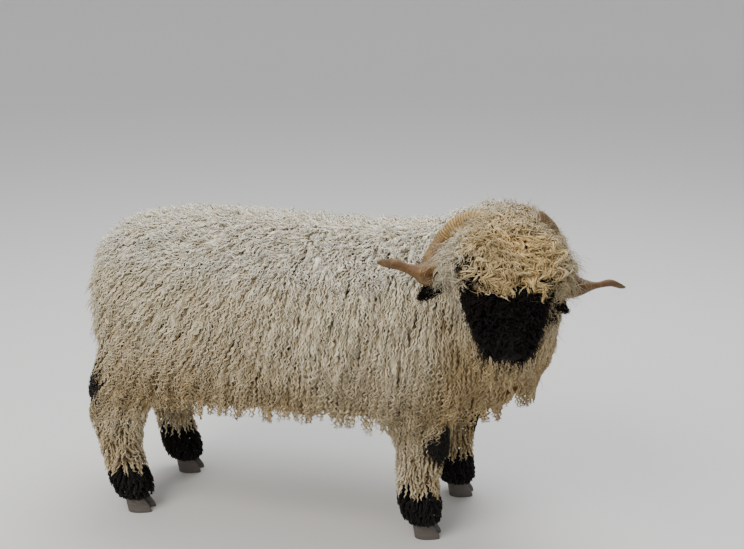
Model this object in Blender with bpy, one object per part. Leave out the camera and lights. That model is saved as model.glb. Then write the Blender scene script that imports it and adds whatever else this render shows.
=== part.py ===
"""A Valais blacknose ewe in full fleece, life size, standing with its head turned to its right.

Metres, +Z up. The ewe faces +X, so its right side is at -Y, and the floor is at Z = 0.
The flesh is lofted whole, out to the tips of the wool, and then parted with thin cuts.
"""

import math

import bmesh
import bpy
import numpy as np
from mathutils import Matrix, Vector

# Driving dimensions
CUT_GAP = 0.0004
LEG_TOP = 0.290
NAPE_DEPTH = 0.076
COLLAR_HEIGHT = 0.040
VOXEL = 0.009
WHOLE_TRIANGLES = 3900

# Where the poll is, and how the head is turned from facing +X: right, down and tilted
POLL = Vector((0.451, -0.333, 0.818))
HEAD_YAW = math.radians(-83.0)
HEAD_PITCH = math.radians(43.0)
HEAD_ROLL = math.radians(-8.3)
EYE_AHEAD = 0.100
EYE_ASIDE = 0.0610
EYE_ABOVE = 0.022
EYE_RADIUS = 0.0135
LID_HOLLOW_RADIUS = 0.0215

# Trunk, out to the wool: x, half width, top, bottom
TRUNK = [
    (-0.598, 0.030, 0.610, 0.530),
    (-0.588, 0.095, 0.675, 0.440),
    (-0.562, 0.150, 0.730, 0.375),
    (-0.515, 0.198, 0.768, 0.336),
    (-0.430, 0.238, 0.791, 0.318),
    (-0.290, 0.262, 0.799, 0.314),
    (-0.100, 0.272, 0.790, 0.315),
    (0.080, 0.266, 0.782, 0.314),
    (0.220, 0.246, 0.788, 0.310),
    (0.340, 0.218, 0.796, 0.318),
    (0.440, 0.186, 0.776, 0.345),
    (0.520, 0.140, 0.722, 0.395),
    (0.562, 0.088, 0.656, 0.460),
    (0.576, 0.030, 0.600, 0.530),
]

# Neck, from the shoulders to the nape: x, y, z, half width, above, below
NECK = [
    (0.270, 0.000, 0.600, 0.215, 0.165, 0.210),
    (0.360, -0.025, 0.665, 0.195, 0.165, 0.265),
    (0.425, -0.095, 0.715, 0.160, 0.150, 0.290),
    (0.445, -0.180, 0.755, 0.140, 0.125, 0.255),
    (0.447, -0.250, 0.785, 0.128, 0.105, 0.180),
    (0.447, -0.310, 0.800, 0.110, 0.080, 0.120),
]

# Head, along its own axis: ahead of the poll, half width, above, below
HEAD = [
    (-0.085, 0.045, 0.020, 0.060),
    (-0.065, 0.074, 0.046, 0.090),
    (-0.025, 0.100, 0.068, 0.110),
    (0.020, 0.126, 0.082, 0.120),
    (0.060, 0.136, 0.082, 0.118),
    (0.092, 0.110, 0.066, 0.106),
    (0.125, 0.087, 0.050, 0.088),
    (0.170, 0.077, 0.042, 0.070),
    (0.206, 0.066, 0.037, 0.052),
    (0.234, 0.052, 0.030, 0.036),
    (0.250, 0.030, 0.016, 0.020),
]

# Lower jaw, along the head's axis: ahead of the poll, below the axis, half width, half height
JAW = [
    (0.020, 0.075, 0.060, 0.045),
    (0.080, 0.076, 0.058, 0.038),
    (0.130, 0.066, 0.047, 0.030),
    (0.175, 0.055, 0.038, 0.024),
    (0.205, 0.048, 0.030, 0.019),
    (0.222, 0.044, 0.018, 0.011),
]

# Legs of the right side, out to the wool: x, from the midline, z, half length, half width
FORE_LEG = [
    (0.215, 0.120, 0.520, 0.130, 0.090),
    (0.225, 0.125, 0.420, 0.112, 0.085),
    (0.240, 0.126, 0.340, 0.094, 0.074),
    (0.252, 0.122, 0.265, 0.072, 0.062),
    (0.250, 0.118, 0.200, 0.060, 0.053),
    (0.249, 0.115, 0.130, 0.055, 0.049),
    (0.256, 0.114, 0.078, 0.057, 0.051),
    (0.264, 0.114, 0.044, 0.048, 0.044),
    (0.268, 0.114, 0.020, 0.036, 0.034),
]
HIND_LEG = [
    (-0.390, 0.120, 0.520, 0.150, 0.095),
    (-0.430, 0.130, 0.430, 0.140, 0.092),
    (-0.475, 0.130, 0.370, 0.118, 0.082),
    (-0.515, 0.126, 0.310, 0.088, 0.067),
    (-0.532, 0.122, 0.250, 0.067, 0.056),
    (-0.532, 0.119, 0.180, 0.056, 0.050),
    (-0.524, 0.117, 0.120, 0.054, 0.049),
    (-0.512, 0.116, 0.075, 0.057, 0.051),
    (-0.502, 0.116, 0.043, 0.048, 0.044),
    (-0.498, 0.116, 0.020, 0.036, 0.034),
]
# How far forward of the right foot each left foot stands
LEFT_FORE_AHEAD = 0.065
LEFT_HIND_AHEAD = 0.055

# Tail, hanging down the rump: x, z, half width, half depth
TAIL = [
    (-0.545, 0.700, 0.022, 0.016),
    (-0.577, 0.676, 0.036, 0.028),
    (-0.594, 0.610, 0.044, 0.034),
    (-0.598, 0.530, 0.046, 0.034),
    (-0.596, 0.450, 0.042, 0.032),
    (-0.588, 0.390, 0.028, 0.024),
    (-0.584, 0.368, 0.012, 0.010),
]

# Horn, in the head's directions: aside, ahead, above, half breadth, half thickness
HORN = [
    (0.026, 0.012, -0.012, 0.022, 0.018),
    (0.038, -0.034, 0.012, 0.023, 0.019),
    (0.058, -0.064, 0.004, 0.023, 0.019),
    (0.088, -0.066, -0.022, 0.023, 0.018),
    (0.107, -0.057, -0.048, 0.023, 0.017),
    (0.124, -0.037, -0.076, 0.023, 0.016),
    (0.137, -0.004, -0.088, 0.024, 0.015),
    (0.147, 0.030, -0.070, 0.023, 0.013),
    (0.168, 0.045, -0.046, 0.015, 0.011),
    (0.200, 0.045, -0.031, 0.010, 0.010),
    (0.225, 0.040, -0.026, 0.011, 0.009),
    (0.250, 0.041, -0.024, 0.009, 0.007),
    (0.263, 0.041, -0.024, 0.004, 0.003),
]
# The way the horn's broad side looks, in the head's directions
HORN_FACING = (0.0, 0.50, 0.86)
HORN_RIDGE = 0.05
HORN_SIDES = 9
HORN_STEPS = 3

# Ear, in the head's directions: aside, ahead, above, half width, half thickness
EAR = [
    (0.068, -0.002, -0.098, 0.014, 0.010),
    (0.088, 0.007, -0.104, 0.020, 0.010),
    (0.107, 0.018, -0.110, 0.022, 0.009),
    (0.126, 0.031, -0.116, 0.022, 0.008),
    (0.143, 0.044, -0.121, 0.018, 0.007),
    (0.156, 0.055, -0.125, 0.010, 0.005),
    (0.161, 0.060, -0.127, 0.004, 0.003),
]

# Claw of the right foot: height, length, width, and how far its middle is ahead of the leg
CLAW = [
    (0.0, 0.064, 0.027, 0.012),
    (0.012, 0.063, 0.027, 0.010),
    (COLLAR_HEIGHT - CUT_GAP, 0.048, 0.022, -0.002),
]
CLAW_SPREAD = 0.0150
CLAW_SIDES = 10

# Lie of the wool: the staples stand in soft columns that lean back over the rump
STAPLE_SPACING = 0.085
STAPLE_RELIEF = 0.0055
CURL_SPACING = 0.045
CURL_RELIEF = 0.0030

FLEECE_COLOUR = (0.80, 0.74, 0.64)
TOPKNOT_COLOUR = (0.72, 0.60, 0.42)
BLACK_COLOUR = (0.03, 0.026, 0.024)
HORN_COLOUR = (0.50, 0.33, 0.16)
CLAW_COLOUR = (0.05, 0.045, 0.04)


def clear_scene():
    for obj in list(bpy.data.objects):
        bpy.data.objects.remove(obj)


def surface(name, colour, roughness):
    """A Principled material of one colour."""
    made = bpy.data.materials.new(name)
    made.use_nodes = True
    shader = made.node_tree.nodes["Principled BSDF"]
    shader.inputs["Base Color"].default_value = (*colour, 1.0)
    shader.inputs["Roughness"].default_value = roughness
    return made


def smooth_stations(stations, steps):
    """Catmull-Rom values through the stations, with this many steps from each to the next."""
    values = np.array(stations, float)
    padded = np.vstack([2 * values[0] - values[1], values, 2 * values[-1] - values[-2]])
    rows = []
    for i in range(len(values) - 1):
        before, start, end, after = padded[i : i + 4]
        for t in np.linspace(0, 1, steps, endpoint=False):
            rows.append(
                0.5 * (2 * start + (end - before) * t)
                + 0.5 * (2 * before - 5 * start + 4 * end - after) * t**2
                + 0.5 * (3 * start - before - 3 * end + after) * t**3
            )
    return [*rows, values[-1]]


def oval(centre, across, up, half_width, above, below, corner=2.3, sag=0.0, count=36):
    """Points of one rounded cross-section. Sag makes it wider below its middle than above."""
    points = []
    for k in range(count):
        angle = 2 * math.pi * k / count
        c, s = math.cos(angle), math.sin(angle)
        reach = above if s > 0 else below
        aside = half_width * math.copysign(abs(c) ** (2 / corner), c) * (1 - sag * s)
        points.append(centre + across * aside + up * reach * math.copysign(abs(s) ** (2 / corner), s))
    return points


def add_loft(mesh, rings):
    """A closed tube through the rings, with a flat cap on each end."""
    loops = [[mesh.verts.new(point) for point in ring] for ring in rings]
    count = len(loops[0])
    for first, second in zip(loops, loops[1:]):
        for k in range(count):
            after = (k + 1) % count
            mesh.faces.new((first[k], first[after], second[after], second[k]))
    mesh.faces.new(reversed(loops[0]))
    mesh.faces.new(loops[-1])


def frame_of_head():
    """The head's left, ahead and up directions."""
    turn = Matrix.Rotation(HEAD_YAW, 3, "Z") @ Matrix.Rotation(HEAD_PITCH, 3, "Y")
    turn = turn @ Matrix.Rotation(HEAD_ROLL, 3, "X")
    return turn @ Vector((0, 1, 0)), turn @ Vector((1, 0, 0)), turn @ Vector((0, 0, 1))


LEFT, AHEAD, UP = frame_of_head()


def on_head(aside, ahead, above, side=1):
    """A place given in the head's directions. Side is 1 for the left and -1 for the right."""
    return POLL + LEFT * aside * side + AHEAD * ahead + UP * above


def trunk_rings():
    for x, half_width, top, bottom in smooth_stations(TRUNK, 4):
        middle = bottom + 0.47 * (top - bottom)
        yield oval(
            Vector((x, 0, middle)), Vector((0, 1, 0)), Vector((0, 0, 1)),
            half_width, top - middle, middle - bottom, corner=2.6, sag=0.10,
        )


def neck_rings():
    rows = smooth_stations(NECK, 4)
    centres = [Vector(row[:3]) for row in rows]
    for i, (centre, row) in enumerate(zip(centres, rows)):
        along = centres[min(i + 1, len(rows) - 1)] - centres[max(i - 1, 0)]
        along.z *= 0.45
        across = Vector((0, 0, 1)).cross(along).normalized()
        yield oval(centre, across, along.cross(across).normalized(), *row[3:], corner=2.2, sag=0.05)


def head_rings():
    for ahead, half_width, above, below in smooth_stations(HEAD, 4):
        yield oval(on_head(0, ahead, 0), LEFT, UP, half_width, above, below, corner=2.25)


def jaw_rings():
    for ahead, drop, half_width, half_height in smooth_stations(JAW, 3):
        yield oval(on_head(0, ahead, -drop), LEFT, UP, half_width, half_height, half_height, corner=2.2)


def leg_rings(stations, side, ahead):
    for x, out, z, half_length, half_width in smooth_stations(stations, 4):
        centre = Vector((x + ahead, side * out, z))
        yield oval(centre, Vector((1, 0, 0)), Vector((0, 1, 0)), half_length, half_width, half_width)


def legs():
    """Name, stations, side and forward step of each leg."""
    return [
        ("foreleg_right", FORE_LEG, -1, 0.0),
        ("foreleg_left", FORE_LEG, 1, LEFT_FORE_AHEAD),
        ("hindleg_right", HIND_LEG, -1, 0.0),
        ("hindleg_left", HIND_LEG, 1, LEFT_HIND_AHEAD),
    ]


def new_object(name, mesh):
    made = bpy.data.objects.new(name, mesh)
    bpy.context.scene.collection.objects.link(made)
    return made


def object_from(name, build):
    """A new object whose mesh the build function fills, in triangles that face outward."""
    shape = bmesh.new()
    build(shape)
    bmesh.ops.triangulate(shape, faces=shape.faces)
    bmesh.ops.recalc_face_normals(shape, faces=shape.faces)
    mesh = bpy.data.meshes.new(name)
    shape.to_mesh(mesh)
    shape.free()
    return new_object(name, mesh)


def settle(obj):
    """Replaces the object's mesh by what its modifiers make of it."""
    graph = bpy.context.evaluated_depsgraph_get()
    mesh = bpy.data.meshes.new_from_object(obj.evaluated_get(graph))
    obj.modifiers.clear()
    obj.data = mesh
    return obj


def relief(points):
    """How far the wool stands out or in at each point: columns of staples, and finer curls on the head."""
    x, y, z = points.T
    on_rump = np.clip((-0.15 - x) / 0.45, 0, 1)
    lean = (0.15 + 0.75 * on_rump) * z
    column = np.sin(2 * np.pi * (x - lean + 0.012 * np.sin(31 * z + 9 * y)) / STAPLE_SPACING)
    step = np.sin(2 * np.pi * (z + 0.35 * x) / (2.3 * STAPLE_SPACING) + 2.5 * np.sin(23 * x))
    staples = STAPLE_RELIEF * (0.7 * column + 0.5 * column * step)
    place = (points - np.array(POLL)) @ np.array([LEFT, AHEAD, UP]).T
    aside, ahead, above = place.T
    near_head = np.clip(1.4 - np.linalg.norm(place / [0.15, 0.13, 0.14], axis=1), 0, 1)
    phase = 2 * np.pi / CURL_SPACING
    curl = np.sin(phase * aside + 1.1 * np.sin(phase * above)) * np.sin(phase * (ahead + 0.6 * above))
    flat_top = np.clip((z - 0.70) / 0.10, 0, 1)
    return staples * (1 - near_head) * (1 - 0.7 * flat_top) + CURL_RELIEF * curl * near_head


def ruffle(obj):
    """Moves the wool's surface in and out, but not the feet, the face or the cut at the claws."""
    mesh = obj.data
    points = np.empty(len(mesh.vertices) * 3)
    normals = np.empty(len(mesh.vertices) * 3)
    mesh.vertices.foreach_get("co", points)
    mesh.vertices.foreach_get("normal", normals)
    points, normals = points.reshape(-1, 3), normals.reshape(-1, 3)
    ahead = (points - np.array(POLL)) @ np.array(AHEAD)
    aside = np.abs((points - np.array(POLL)) @ np.array(LEFT))
    on_face = (ahead > 0.085) & (aside < 0.12) & (points[:, 1] < -0.30)
    fade = np.where(on_face, 0.0, np.clip((points[:, 2] - 0.10) / 0.15, 0, 1))
    points += normals * (relief(points) * fade)[:, None]
    mesh.vertices.foreach_set("co", points.ravel())
    mesh.update()


def whole_flesh():
    """Trunk, neck, head, jaw and legs as one closed surface."""

    def build(shape):
        add_loft(shape, list(trunk_rings()))
        add_loft(shape, list(neck_rings()))
        add_loft(shape, list(head_rings()))
        add_loft(shape, list(jaw_rings()))
        for _, stations, side, ahead in legs():
            add_loft(shape, list(leg_rings(stations, side, ahead)))

    obj = object_from("flesh", build)
    remesh = obj.modifiers.new("join", "REMESH")
    remesh.mode = "VOXEL"
    remesh.voxel_size = VOXEL
    smooth = obj.modifiers.new("soften", "SMOOTH")
    smooth.factor, smooth.iterations = 0.5, 14
    settle(obj)
    ruffle(obj)
    thin_out(obj)
    return obj


def thin_out(obj):
    """Brings the surface down to WHOLE_TRIANGLES."""
    faces = sum(len(face.vertices) - 2 for face in obj.data.polygons)
    thin = obj.modifiers.new("thin", "DECIMATE")
    thin.ratio = WHOLE_TRIANGLES / faces
    settle(obj)


def kept_side(obj, name, point, normal):
    """A copy of the object, cut flat at a plane, that keeps the side its normal points to."""
    shape = bmesh.new()
    shape.from_mesh(obj.data)
    normal = Vector(normal).normalized()
    start = Vector(point) + normal * CUT_GAP / 2
    everything = shape.verts[:] + shape.edges[:] + shape.faces[:]
    bmesh.ops.bisect_plane(shape, geom=everything, plane_co=start, plane_no=normal, clear_inner=True)
    rim = [edge for edge in shape.edges if edge.is_boundary]
    if rim:
        bmesh.ops.holes_fill(shape, edges=rim, sides=0)
    bmesh.ops.triangulate(shape, faces=[face for face in shape.faces if len(face.verts) > 4])
    mesh = bpy.data.meshes.new(name)
    shape.to_mesh(mesh)
    shape.free()
    return new_object(name, mesh)


def parted(obj, names, point, normal):
    """Both sides of a cut, first the one that the normal points to. The uncut object is removed."""
    ahead = kept_side(obj, names[0], point, normal)
    behind = kept_side(obj, names[1], point, -Vector(normal))
    bpy.data.objects.remove(obj)
    return ahead, behind


def part_flesh(whole):
    """The named nodes of flesh, from the whole."""
    upper, lower = parted(whole, ("upper", "lower"), (0, 0, LEG_TOP), (0, 0, 1))
    lower, feet = parted(lower, ("lower_legs", "feet"), (0, 0, COLLAR_HEIGHT), (0, 0, 1))
    bpy.data.objects.remove(feet)
    fore, hind = parted(lower, ("fore", "hind"), (-0.15, 0, 0), (1, 0, 0))
    parted(fore, ("foreleg_left", "foreleg_right"), (0, 0, 0), (0, 1, 0))
    parted(hind, ("hindleg_left", "hindleg_right"), (0, 0, 0), (0, 1, 0))
    front, _ = parted(upper, ("front", "trunk"), (0.385, 0, 0.62), (0.50, -0.32, 0.80))
    parted(front, ("head", "neck"), POLL - (AHEAD + UP) * NAPE_DEPTH, AHEAD + UP)


def tail():
    def build(shape):
        rows = smooth_stations(TAIL, 2)
        centres = [Vector((row[0], 0, row[1])) for row in rows]
        rings = []
        for i, (centre, row) in enumerate(zip(centres, rows)):
            along = centres[min(i + 1, len(rows) - 1)] - centres[max(i - 1, 0)]
            back = along.cross(Vector((0, 1, 0))).normalized()
            rings.append(oval(centre, Vector((0, 1, 0)), back, row[2], row[3], row[3], count=10))
        add_loft(shape, rings)

    return object_from("tail", build)


def turned_frames(centres, aim):
    """Across and up directions at each centre of a curved piece, carried along it with no twist."""
    frames = []
    across = Vector(aim)
    for i, centre in enumerate(centres):
        along = centres[min(i + 1, len(centres) - 1)] - centres[max(i - 1, 0)]
        along.normalize()
        across = (across - along * across.dot(along)).normalized()
        frames.append((across.copy(), along.cross(across)))
    return frames


def horn(name, side):
    """A spiral horn: back from the poll, round under itself, and out to the side."""

    def build(shape):
        rows = smooth_stations(HORN, HORN_STEPS)
        centres = [on_head(*row[:3], side) for row in rows]
        facing = on_head(*HORN_FACING) - POLL
        rings = []
        for i, row in enumerate(rows):
            along = centres[min(i + 1, len(rows) - 1)] - centres[max(i - 1, 0)]
            across = along.cross(facing).normalized()
            outward = across.cross(along).normalized()
            bulge = 1 + (HORN_RIDGE if i % 2 else 0.0) * (1 - i / len(rows))
            broad, thin = row[3] * bulge, row[4] * bulge
            rings.append(oval(centres[i], across, outward, broad, thin, thin, corner=2.1, count=HORN_SIDES))
        add_loft(shape, rings)

    return object_from(name, build)


def ear(name, side):
    """A leaf-shaped ear that droops outward from below the horn."""

    def build(shape):
        rows = smooth_stations(EAR, 2)
        centres = [on_head(*row[:3], side) for row in rows]
        frames = turned_frames(centres, AHEAD)
        rings = [
            oval(centre, frame[0], frame[1], row[3], row[4], row[4], corner=2.0, count=8)
            for centre, row, frame in zip(centres, rows, frames)
        ]
        add_loft(shape, rings)

    return object_from(name, build)


def ball(name, centre, radius, rows=8, columns=12):
    def build(shape):
        bmesh.ops.create_uvsphere(shape, u_segments=columns, v_segments=rows, radius=radius)
        bmesh.ops.translate(shape, verts=shape.verts, vec=centre)

    return object_from(name, build)


def claw(name, foot, side, inner):
    """One of a foot's two claws: a flat sole, a sloping toe and a rounded heel."""

    def build(shape):
        rings = []
        for height, length, width, ahead in CLAW:
            centre = Vector((foot.x + ahead, foot.y + side * inner * CLAW_SPREAD, height))
            ring = []
            for k in range(CLAW_SIDES):
                angle = 2 * math.pi * k / CLAW_SIDES
                along, aside = math.cos(angle), math.sin(angle)
                ring.append(centre + Vector((along * length, aside * width * (1 - 0.38 * along), 0)) / 2)
            rings.append(ring)
        add_loft(shape, rings)

    return object_from(name, build)


def claws():
    for name, stations, side, ahead in legs():
        x, out = stations[-2][:2]
        foot = Vector((x + ahead, side * out, 0))
        label = name.replace("leg", "")
        claw(f"claw_{label}_outer", foot, side, 1)
        claw(f"claw_{label}_inner", foot, side, -1)


def grown(obj, by=CUT_GAP):
    """A slightly larger copy of the object, to cut room for it."""
    mesh = obj.data.copy()
    copy = new_object(f"{obj.name}_room", mesh)
    for vertex, normal in zip(mesh.vertices, [v.normal.copy() for v in mesh.vertices]):
        vertex.co += normal * by
    return copy


def cut_out(obj, cutter):
    """Takes the cutter's space out of the object."""
    cut = obj.modifiers.new("room", "BOOLEAN")
    cut.operation, cut.object = "DIFFERENCE", cutter
    settle(obj)


def make_room(cutters):
    """Lets each cutter into the nodes named with it, and then removes the cutters."""
    for cutter, names in cutters:
        for name in names:
            cut_out(bpy.data.objects[name], cutter)
    for cutter, _ in cutters:
        bpy.data.objects.remove(cutter)


def head_pieces():
    """Horns, ears and eyes, each let into the head."""
    cutters = []
    for word, side in (("left", 1), ("right", -1)):
        cutters.append((grown(horn(f"horn_{word}", side), 1.5 * CUT_GAP), ["head", "neck"]))
        ear_piece = ear(f"ear_{word}", side)
        cutters.append((grown(ear_piece, 1.5 * CUT_GAP), ["head", "neck"]))
        eye = ball(f"eye_{word}", on_head(EYE_ASIDE, EYE_AHEAD, EYE_ABOVE, side), EYE_RADIUS)
        cutters.append((grown(eye, 1.5 * CUT_GAP), ["head"]))
        hollow = on_head(EYE_ASIDE + 0.021, EYE_AHEAD + 0.003, EYE_ABOVE + 0.003, side)
        cutters.append((ball(f"lid_{word}", hollow, LID_HOLLOW_RADIUS), ["head"]))
    make_room(cutters)


def centre_on_floor():
    """Moves everything so that the middle of the model's base is at the origin."""
    corners = np.array([v.co for obj in bpy.data.objects for v in obj.data.vertices])
    low, high = corners.min(0), corners.max(0)
    shift = Matrix.Translation((-(low[0] + high[0]) / 2, -(low[1] + high[1]) / 2, -low[2]))
    for obj in bpy.data.objects:
        obj.data.transform(shift)


def finish_surfaces():
    """Gives each node its colour and smooth shading."""
    black = surface("black_wool", BLACK_COLOUR, 0.9)
    by_start = {
        "head": surface("topknot_wool", TOPKNOT_COLOUR, 0.95),
        "ear": black,
        "horn": surface("horn", HORN_COLOUR, 0.5),
        "eye": surface("eye", BLACK_COLOUR, 0.1),
        "claw": surface("claw", CLAW_COLOUR, 0.5),
    }
    fleece = surface("fleece", FLEECE_COLOUR, 0.95)
    for obj in bpy.data.objects:
        obj.data.materials.clear()
        obj.data.materials.append(by_start.get(obj.name.split("_")[0], fleece))
        obj.data.shade_smooth()


def main():
    clear_scene()
    part_flesh(whole_flesh())
    tail_piece = tail()
    make_room([(grown(tail_piece, 1.5 * CUT_GAP), ["trunk"])])
    head_pieces()
    claws()
    centre_on_floor()
    finish_surfaces()


main()
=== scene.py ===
"""A Valais blacknose ewe: skin, fleece, curls, horns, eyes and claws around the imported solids.

Body measures are given as drawn, in metres, and in_frame() moves them to where the solids stand.
"""

import math

import bmesh
import bpy
import numpy as np
from mathutils import Matrix, Vector
from mathutils.bvhtree import BVHTree
from mathutils.kdtree import KDTree


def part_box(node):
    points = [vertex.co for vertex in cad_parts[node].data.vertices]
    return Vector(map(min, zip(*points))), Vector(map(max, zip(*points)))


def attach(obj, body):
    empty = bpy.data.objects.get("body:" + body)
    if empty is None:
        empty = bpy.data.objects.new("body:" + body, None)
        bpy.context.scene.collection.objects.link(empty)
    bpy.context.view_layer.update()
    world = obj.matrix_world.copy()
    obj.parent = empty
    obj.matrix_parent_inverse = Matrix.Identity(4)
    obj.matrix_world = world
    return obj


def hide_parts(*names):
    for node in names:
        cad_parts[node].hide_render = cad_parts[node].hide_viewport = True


bl_info = {
    "name": "Valais Blacknose Ewe",
    "version": (1, 0, 0),
    "blender": (4, 5, 0),
    "location": "3D View > Sidebar > Sheep",
    "description": "Builds the skin, fleece, horns, eyes and claws of a long-woolled ewe over its solids",
    "category": "Object",
}

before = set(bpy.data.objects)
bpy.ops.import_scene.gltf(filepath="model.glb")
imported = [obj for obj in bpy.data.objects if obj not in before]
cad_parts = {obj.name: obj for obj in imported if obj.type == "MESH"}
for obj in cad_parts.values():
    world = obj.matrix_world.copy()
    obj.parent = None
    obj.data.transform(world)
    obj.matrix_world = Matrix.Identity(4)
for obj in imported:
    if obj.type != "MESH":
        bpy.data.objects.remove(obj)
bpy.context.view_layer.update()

# How the head is turned from facing +X: right, down and tilted
HEAD_YAW = math.radians(-83.0)
HEAD_PITCH = math.radians(43.0)
HEAD_ROLL = math.radians(-8.3)
POLL_AS_DRAWN = Vector((0.451, -0.333, 0.818))
EYE_AHEAD = 0.100
EYE_ASIDE = 0.0610
EYE_ABOVE = 0.022
EYE_RADIUS = 0.0135

FLESH_NODES = (
    "trunk", "neck", "head", "tail", "ear_left", "ear_right",
    "foreleg_left", "foreleg_right", "hindleg_left", "hindleg_right",
)
LEFT_FORE_AHEAD = 0.065
LEFT_HIND_AHEAD = 0.055

# Bare trunk: x, half width, top, bottom
TRUNK = [
    (-0.530, 0.020, 0.610, 0.560),
    (-0.520, 0.070, 0.655, 0.480),
    (-0.490, 0.115, 0.692, 0.425),
    (-0.430, 0.150, 0.716, 0.398),
    (-0.330, 0.175, 0.726, 0.386),
    (-0.200, 0.190, 0.722, 0.380),
    (-0.050, 0.200, 0.714, 0.377),
    (0.100, 0.195, 0.708, 0.378),
    (0.220, 0.175, 0.714, 0.382),
    (0.330, 0.150, 0.720, 0.395),
    (0.420, 0.122, 0.696, 0.428),
    (0.480, 0.082, 0.640, 0.480),
    (0.500, 0.025, 0.590, 0.540),
]

# Bare neck: x, y, z, half width, above, below
NECK = [
    (0.270, 0.000, 0.600, 0.130, 0.100, 0.150),
    (0.360, -0.025, 0.665, 0.115, 0.100, 0.160),
    (0.425, -0.095, 0.715, 0.085, 0.085, 0.145),
    (0.445, -0.180, 0.755, 0.075, 0.068, 0.120),
    (0.447, -0.250, 0.785, 0.070, 0.058, 0.088),
    (0.447, -0.310, 0.800, 0.062, 0.042, 0.065),
]

# Bare head, along its axis: ahead of the poll, half width, above, below
HEAD = [
    (-0.060, 0.020, 0.010, 0.030),
    (-0.045, 0.050, 0.026, 0.055),
    (-0.010, 0.066, 0.038, 0.072),
    (0.030, 0.070, 0.045, 0.080),
    (0.070, 0.071, 0.046, 0.078),
    (0.100, 0.068, 0.042, 0.070),
    (0.130, 0.055, 0.034, 0.058),
    (0.165, 0.047, 0.029, 0.045),
    (0.200, 0.043, 0.026, 0.035),
    (0.225, 0.039, 0.023, 0.027),
    (0.240, 0.029, 0.016, 0.018),
    (0.246, 0.012, 0.006, 0.008),
]

# Lower jaw: ahead of the poll, below the axis, half width, half height
JAW = [
    (0.020, 0.055, 0.042, 0.032),
    (0.080, 0.058, 0.042, 0.027),
    (0.130, 0.052, 0.035, 0.021),
    (0.175, 0.043, 0.029, 0.017),
    (0.205, 0.037, 0.024, 0.014),
    (0.226, 0.032, 0.014, 0.009),
]

# Ear, in the head's directions: aside, ahead, above, half width, half thickness
EAR = [
    (0.030, -0.010, -0.060, 0.010, 0.010),
    (0.068, -0.002, -0.098, 0.013, 0.007),
    (0.088, 0.007, -0.104, 0.017, 0.006),
    (0.107, 0.018, -0.110, 0.019, 0.0055),
    (0.126, 0.031, -0.116, 0.018, 0.0050),
    (0.142, 0.043, -0.120, 0.013, 0.0045),
    (0.152, 0.051, -0.123, 0.006, 0.0030),
]

# Bare legs of the right side: x, from the midline, z, half length, half width
FORE_LEG = [
    (0.220, 0.100, 0.500, 0.085, 0.050),
    (0.225, 0.110, 0.420, 0.065, 0.045),
    (0.235, 0.115, 0.360, 0.044, 0.035),
    (0.245, 0.117, 0.305, 0.032, 0.028),
    (0.249, 0.116, 0.268, 0.031, 0.029),
    (0.246, 0.115, 0.220, 0.022, 0.021),
    (0.246, 0.115, 0.150, 0.019, 0.018),
    (0.250, 0.114, 0.095, 0.022, 0.021),
    (0.258, 0.114, 0.065, 0.026, 0.025),
    (0.264, 0.114, 0.042, 0.028, 0.028),
    (0.268, 0.114, 0.032, 0.027, 0.027),
]
HIND_LEG = [
    (-0.390, 0.100, 0.520, 0.120, 0.060),
    (-0.430, 0.112, 0.430, 0.095, 0.055),
    (-0.475, 0.118, 0.370, 0.064, 0.043),
    (-0.522, 0.120, 0.318, 0.041, 0.031),
    (-0.545, 0.120, 0.278, 0.033, 0.027),
    (-0.541, 0.119, 0.225, 0.025, 0.022),
    (-0.533, 0.118, 0.165, 0.020, 0.019),
    (-0.524, 0.117, 0.110, 0.022, 0.021),
    (-0.512, 0.116, 0.075, 0.026, 0.025),
    (-0.503, 0.116, 0.045, 0.028, 0.028),
    (-0.499, 0.116, 0.032, 0.027, 0.027),
]

# Tail bone and skin: x, z, half width, half depth
TAIL = [
    (-0.490, 0.665, 0.022, 0.020),
    (-0.545, 0.662, 0.021, 0.017),
    (-0.566, 0.600, 0.018, 0.014),
    (-0.573, 0.520, 0.016, 0.012),
    (-0.573, 0.440, 0.012, 0.010),
    (-0.569, 0.400, 0.006, 0.005),
]

# Horn, in the head's directions: aside, ahead, above, half breadth, half thickness
HORN = [
    (0.026, 0.012, -0.012, 0.022, 0.018),
    (0.038, -0.034, 0.012, 0.023, 0.019),
    (0.058, -0.064, 0.004, 0.023, 0.019),
    (0.088, -0.066, -0.022, 0.023, 0.018),
    (0.107, -0.057, -0.048, 0.023, 0.017),
    (0.124, -0.037, -0.076, 0.023, 0.017),
    (0.137, -0.004, -0.088, 0.025, 0.022),
    (0.147, 0.030, -0.067, 0.027, 0.031),
    (0.167, 0.045, -0.043, 0.019, 0.025),
    (0.200, 0.045, -0.031, 0.010, 0.009),
    (0.225, 0.040, -0.026, 0.011, 0.009),
    (0.250, 0.041, -0.024, 0.008, 0.006),
    (0.263, 0.041, -0.024, 0.003, 0.002),
]
HORN_FACING = (0.0, 0.50, 0.86)
HORN_RIDGE_SPACING = 0.0058

# Claw of the right foot: height, length, width, and how far its middle is ahead of the leg
CLAW = [
    (0.000, 0.0600, 0.0240, 0.012),
    (0.0015, 0.0640, 0.0270, 0.012),
    (0.012, 0.0630, 0.0270, 0.010),
    (0.026, 0.0560, 0.0255, 0.004),
    (0.0396, 0.0480, 0.0220, -0.002),
]
CLAW_MIDDLE = 0.044  # from the toe's end back

# Black spots by the eyes, in the head's directions, and their radius
BLACK_SPOTS = [
    ((-0.098, 0.060, 0.050), 0.012),
    ((0.070, 0.094, 0.052), 0.014),
    ((-0.076, 0.088, 0.040), 0.015),
    ((0.066, 0.104, 0.024), 0.021),
    ((-0.066, 0.104, 0.024), 0.021),
]

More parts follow.
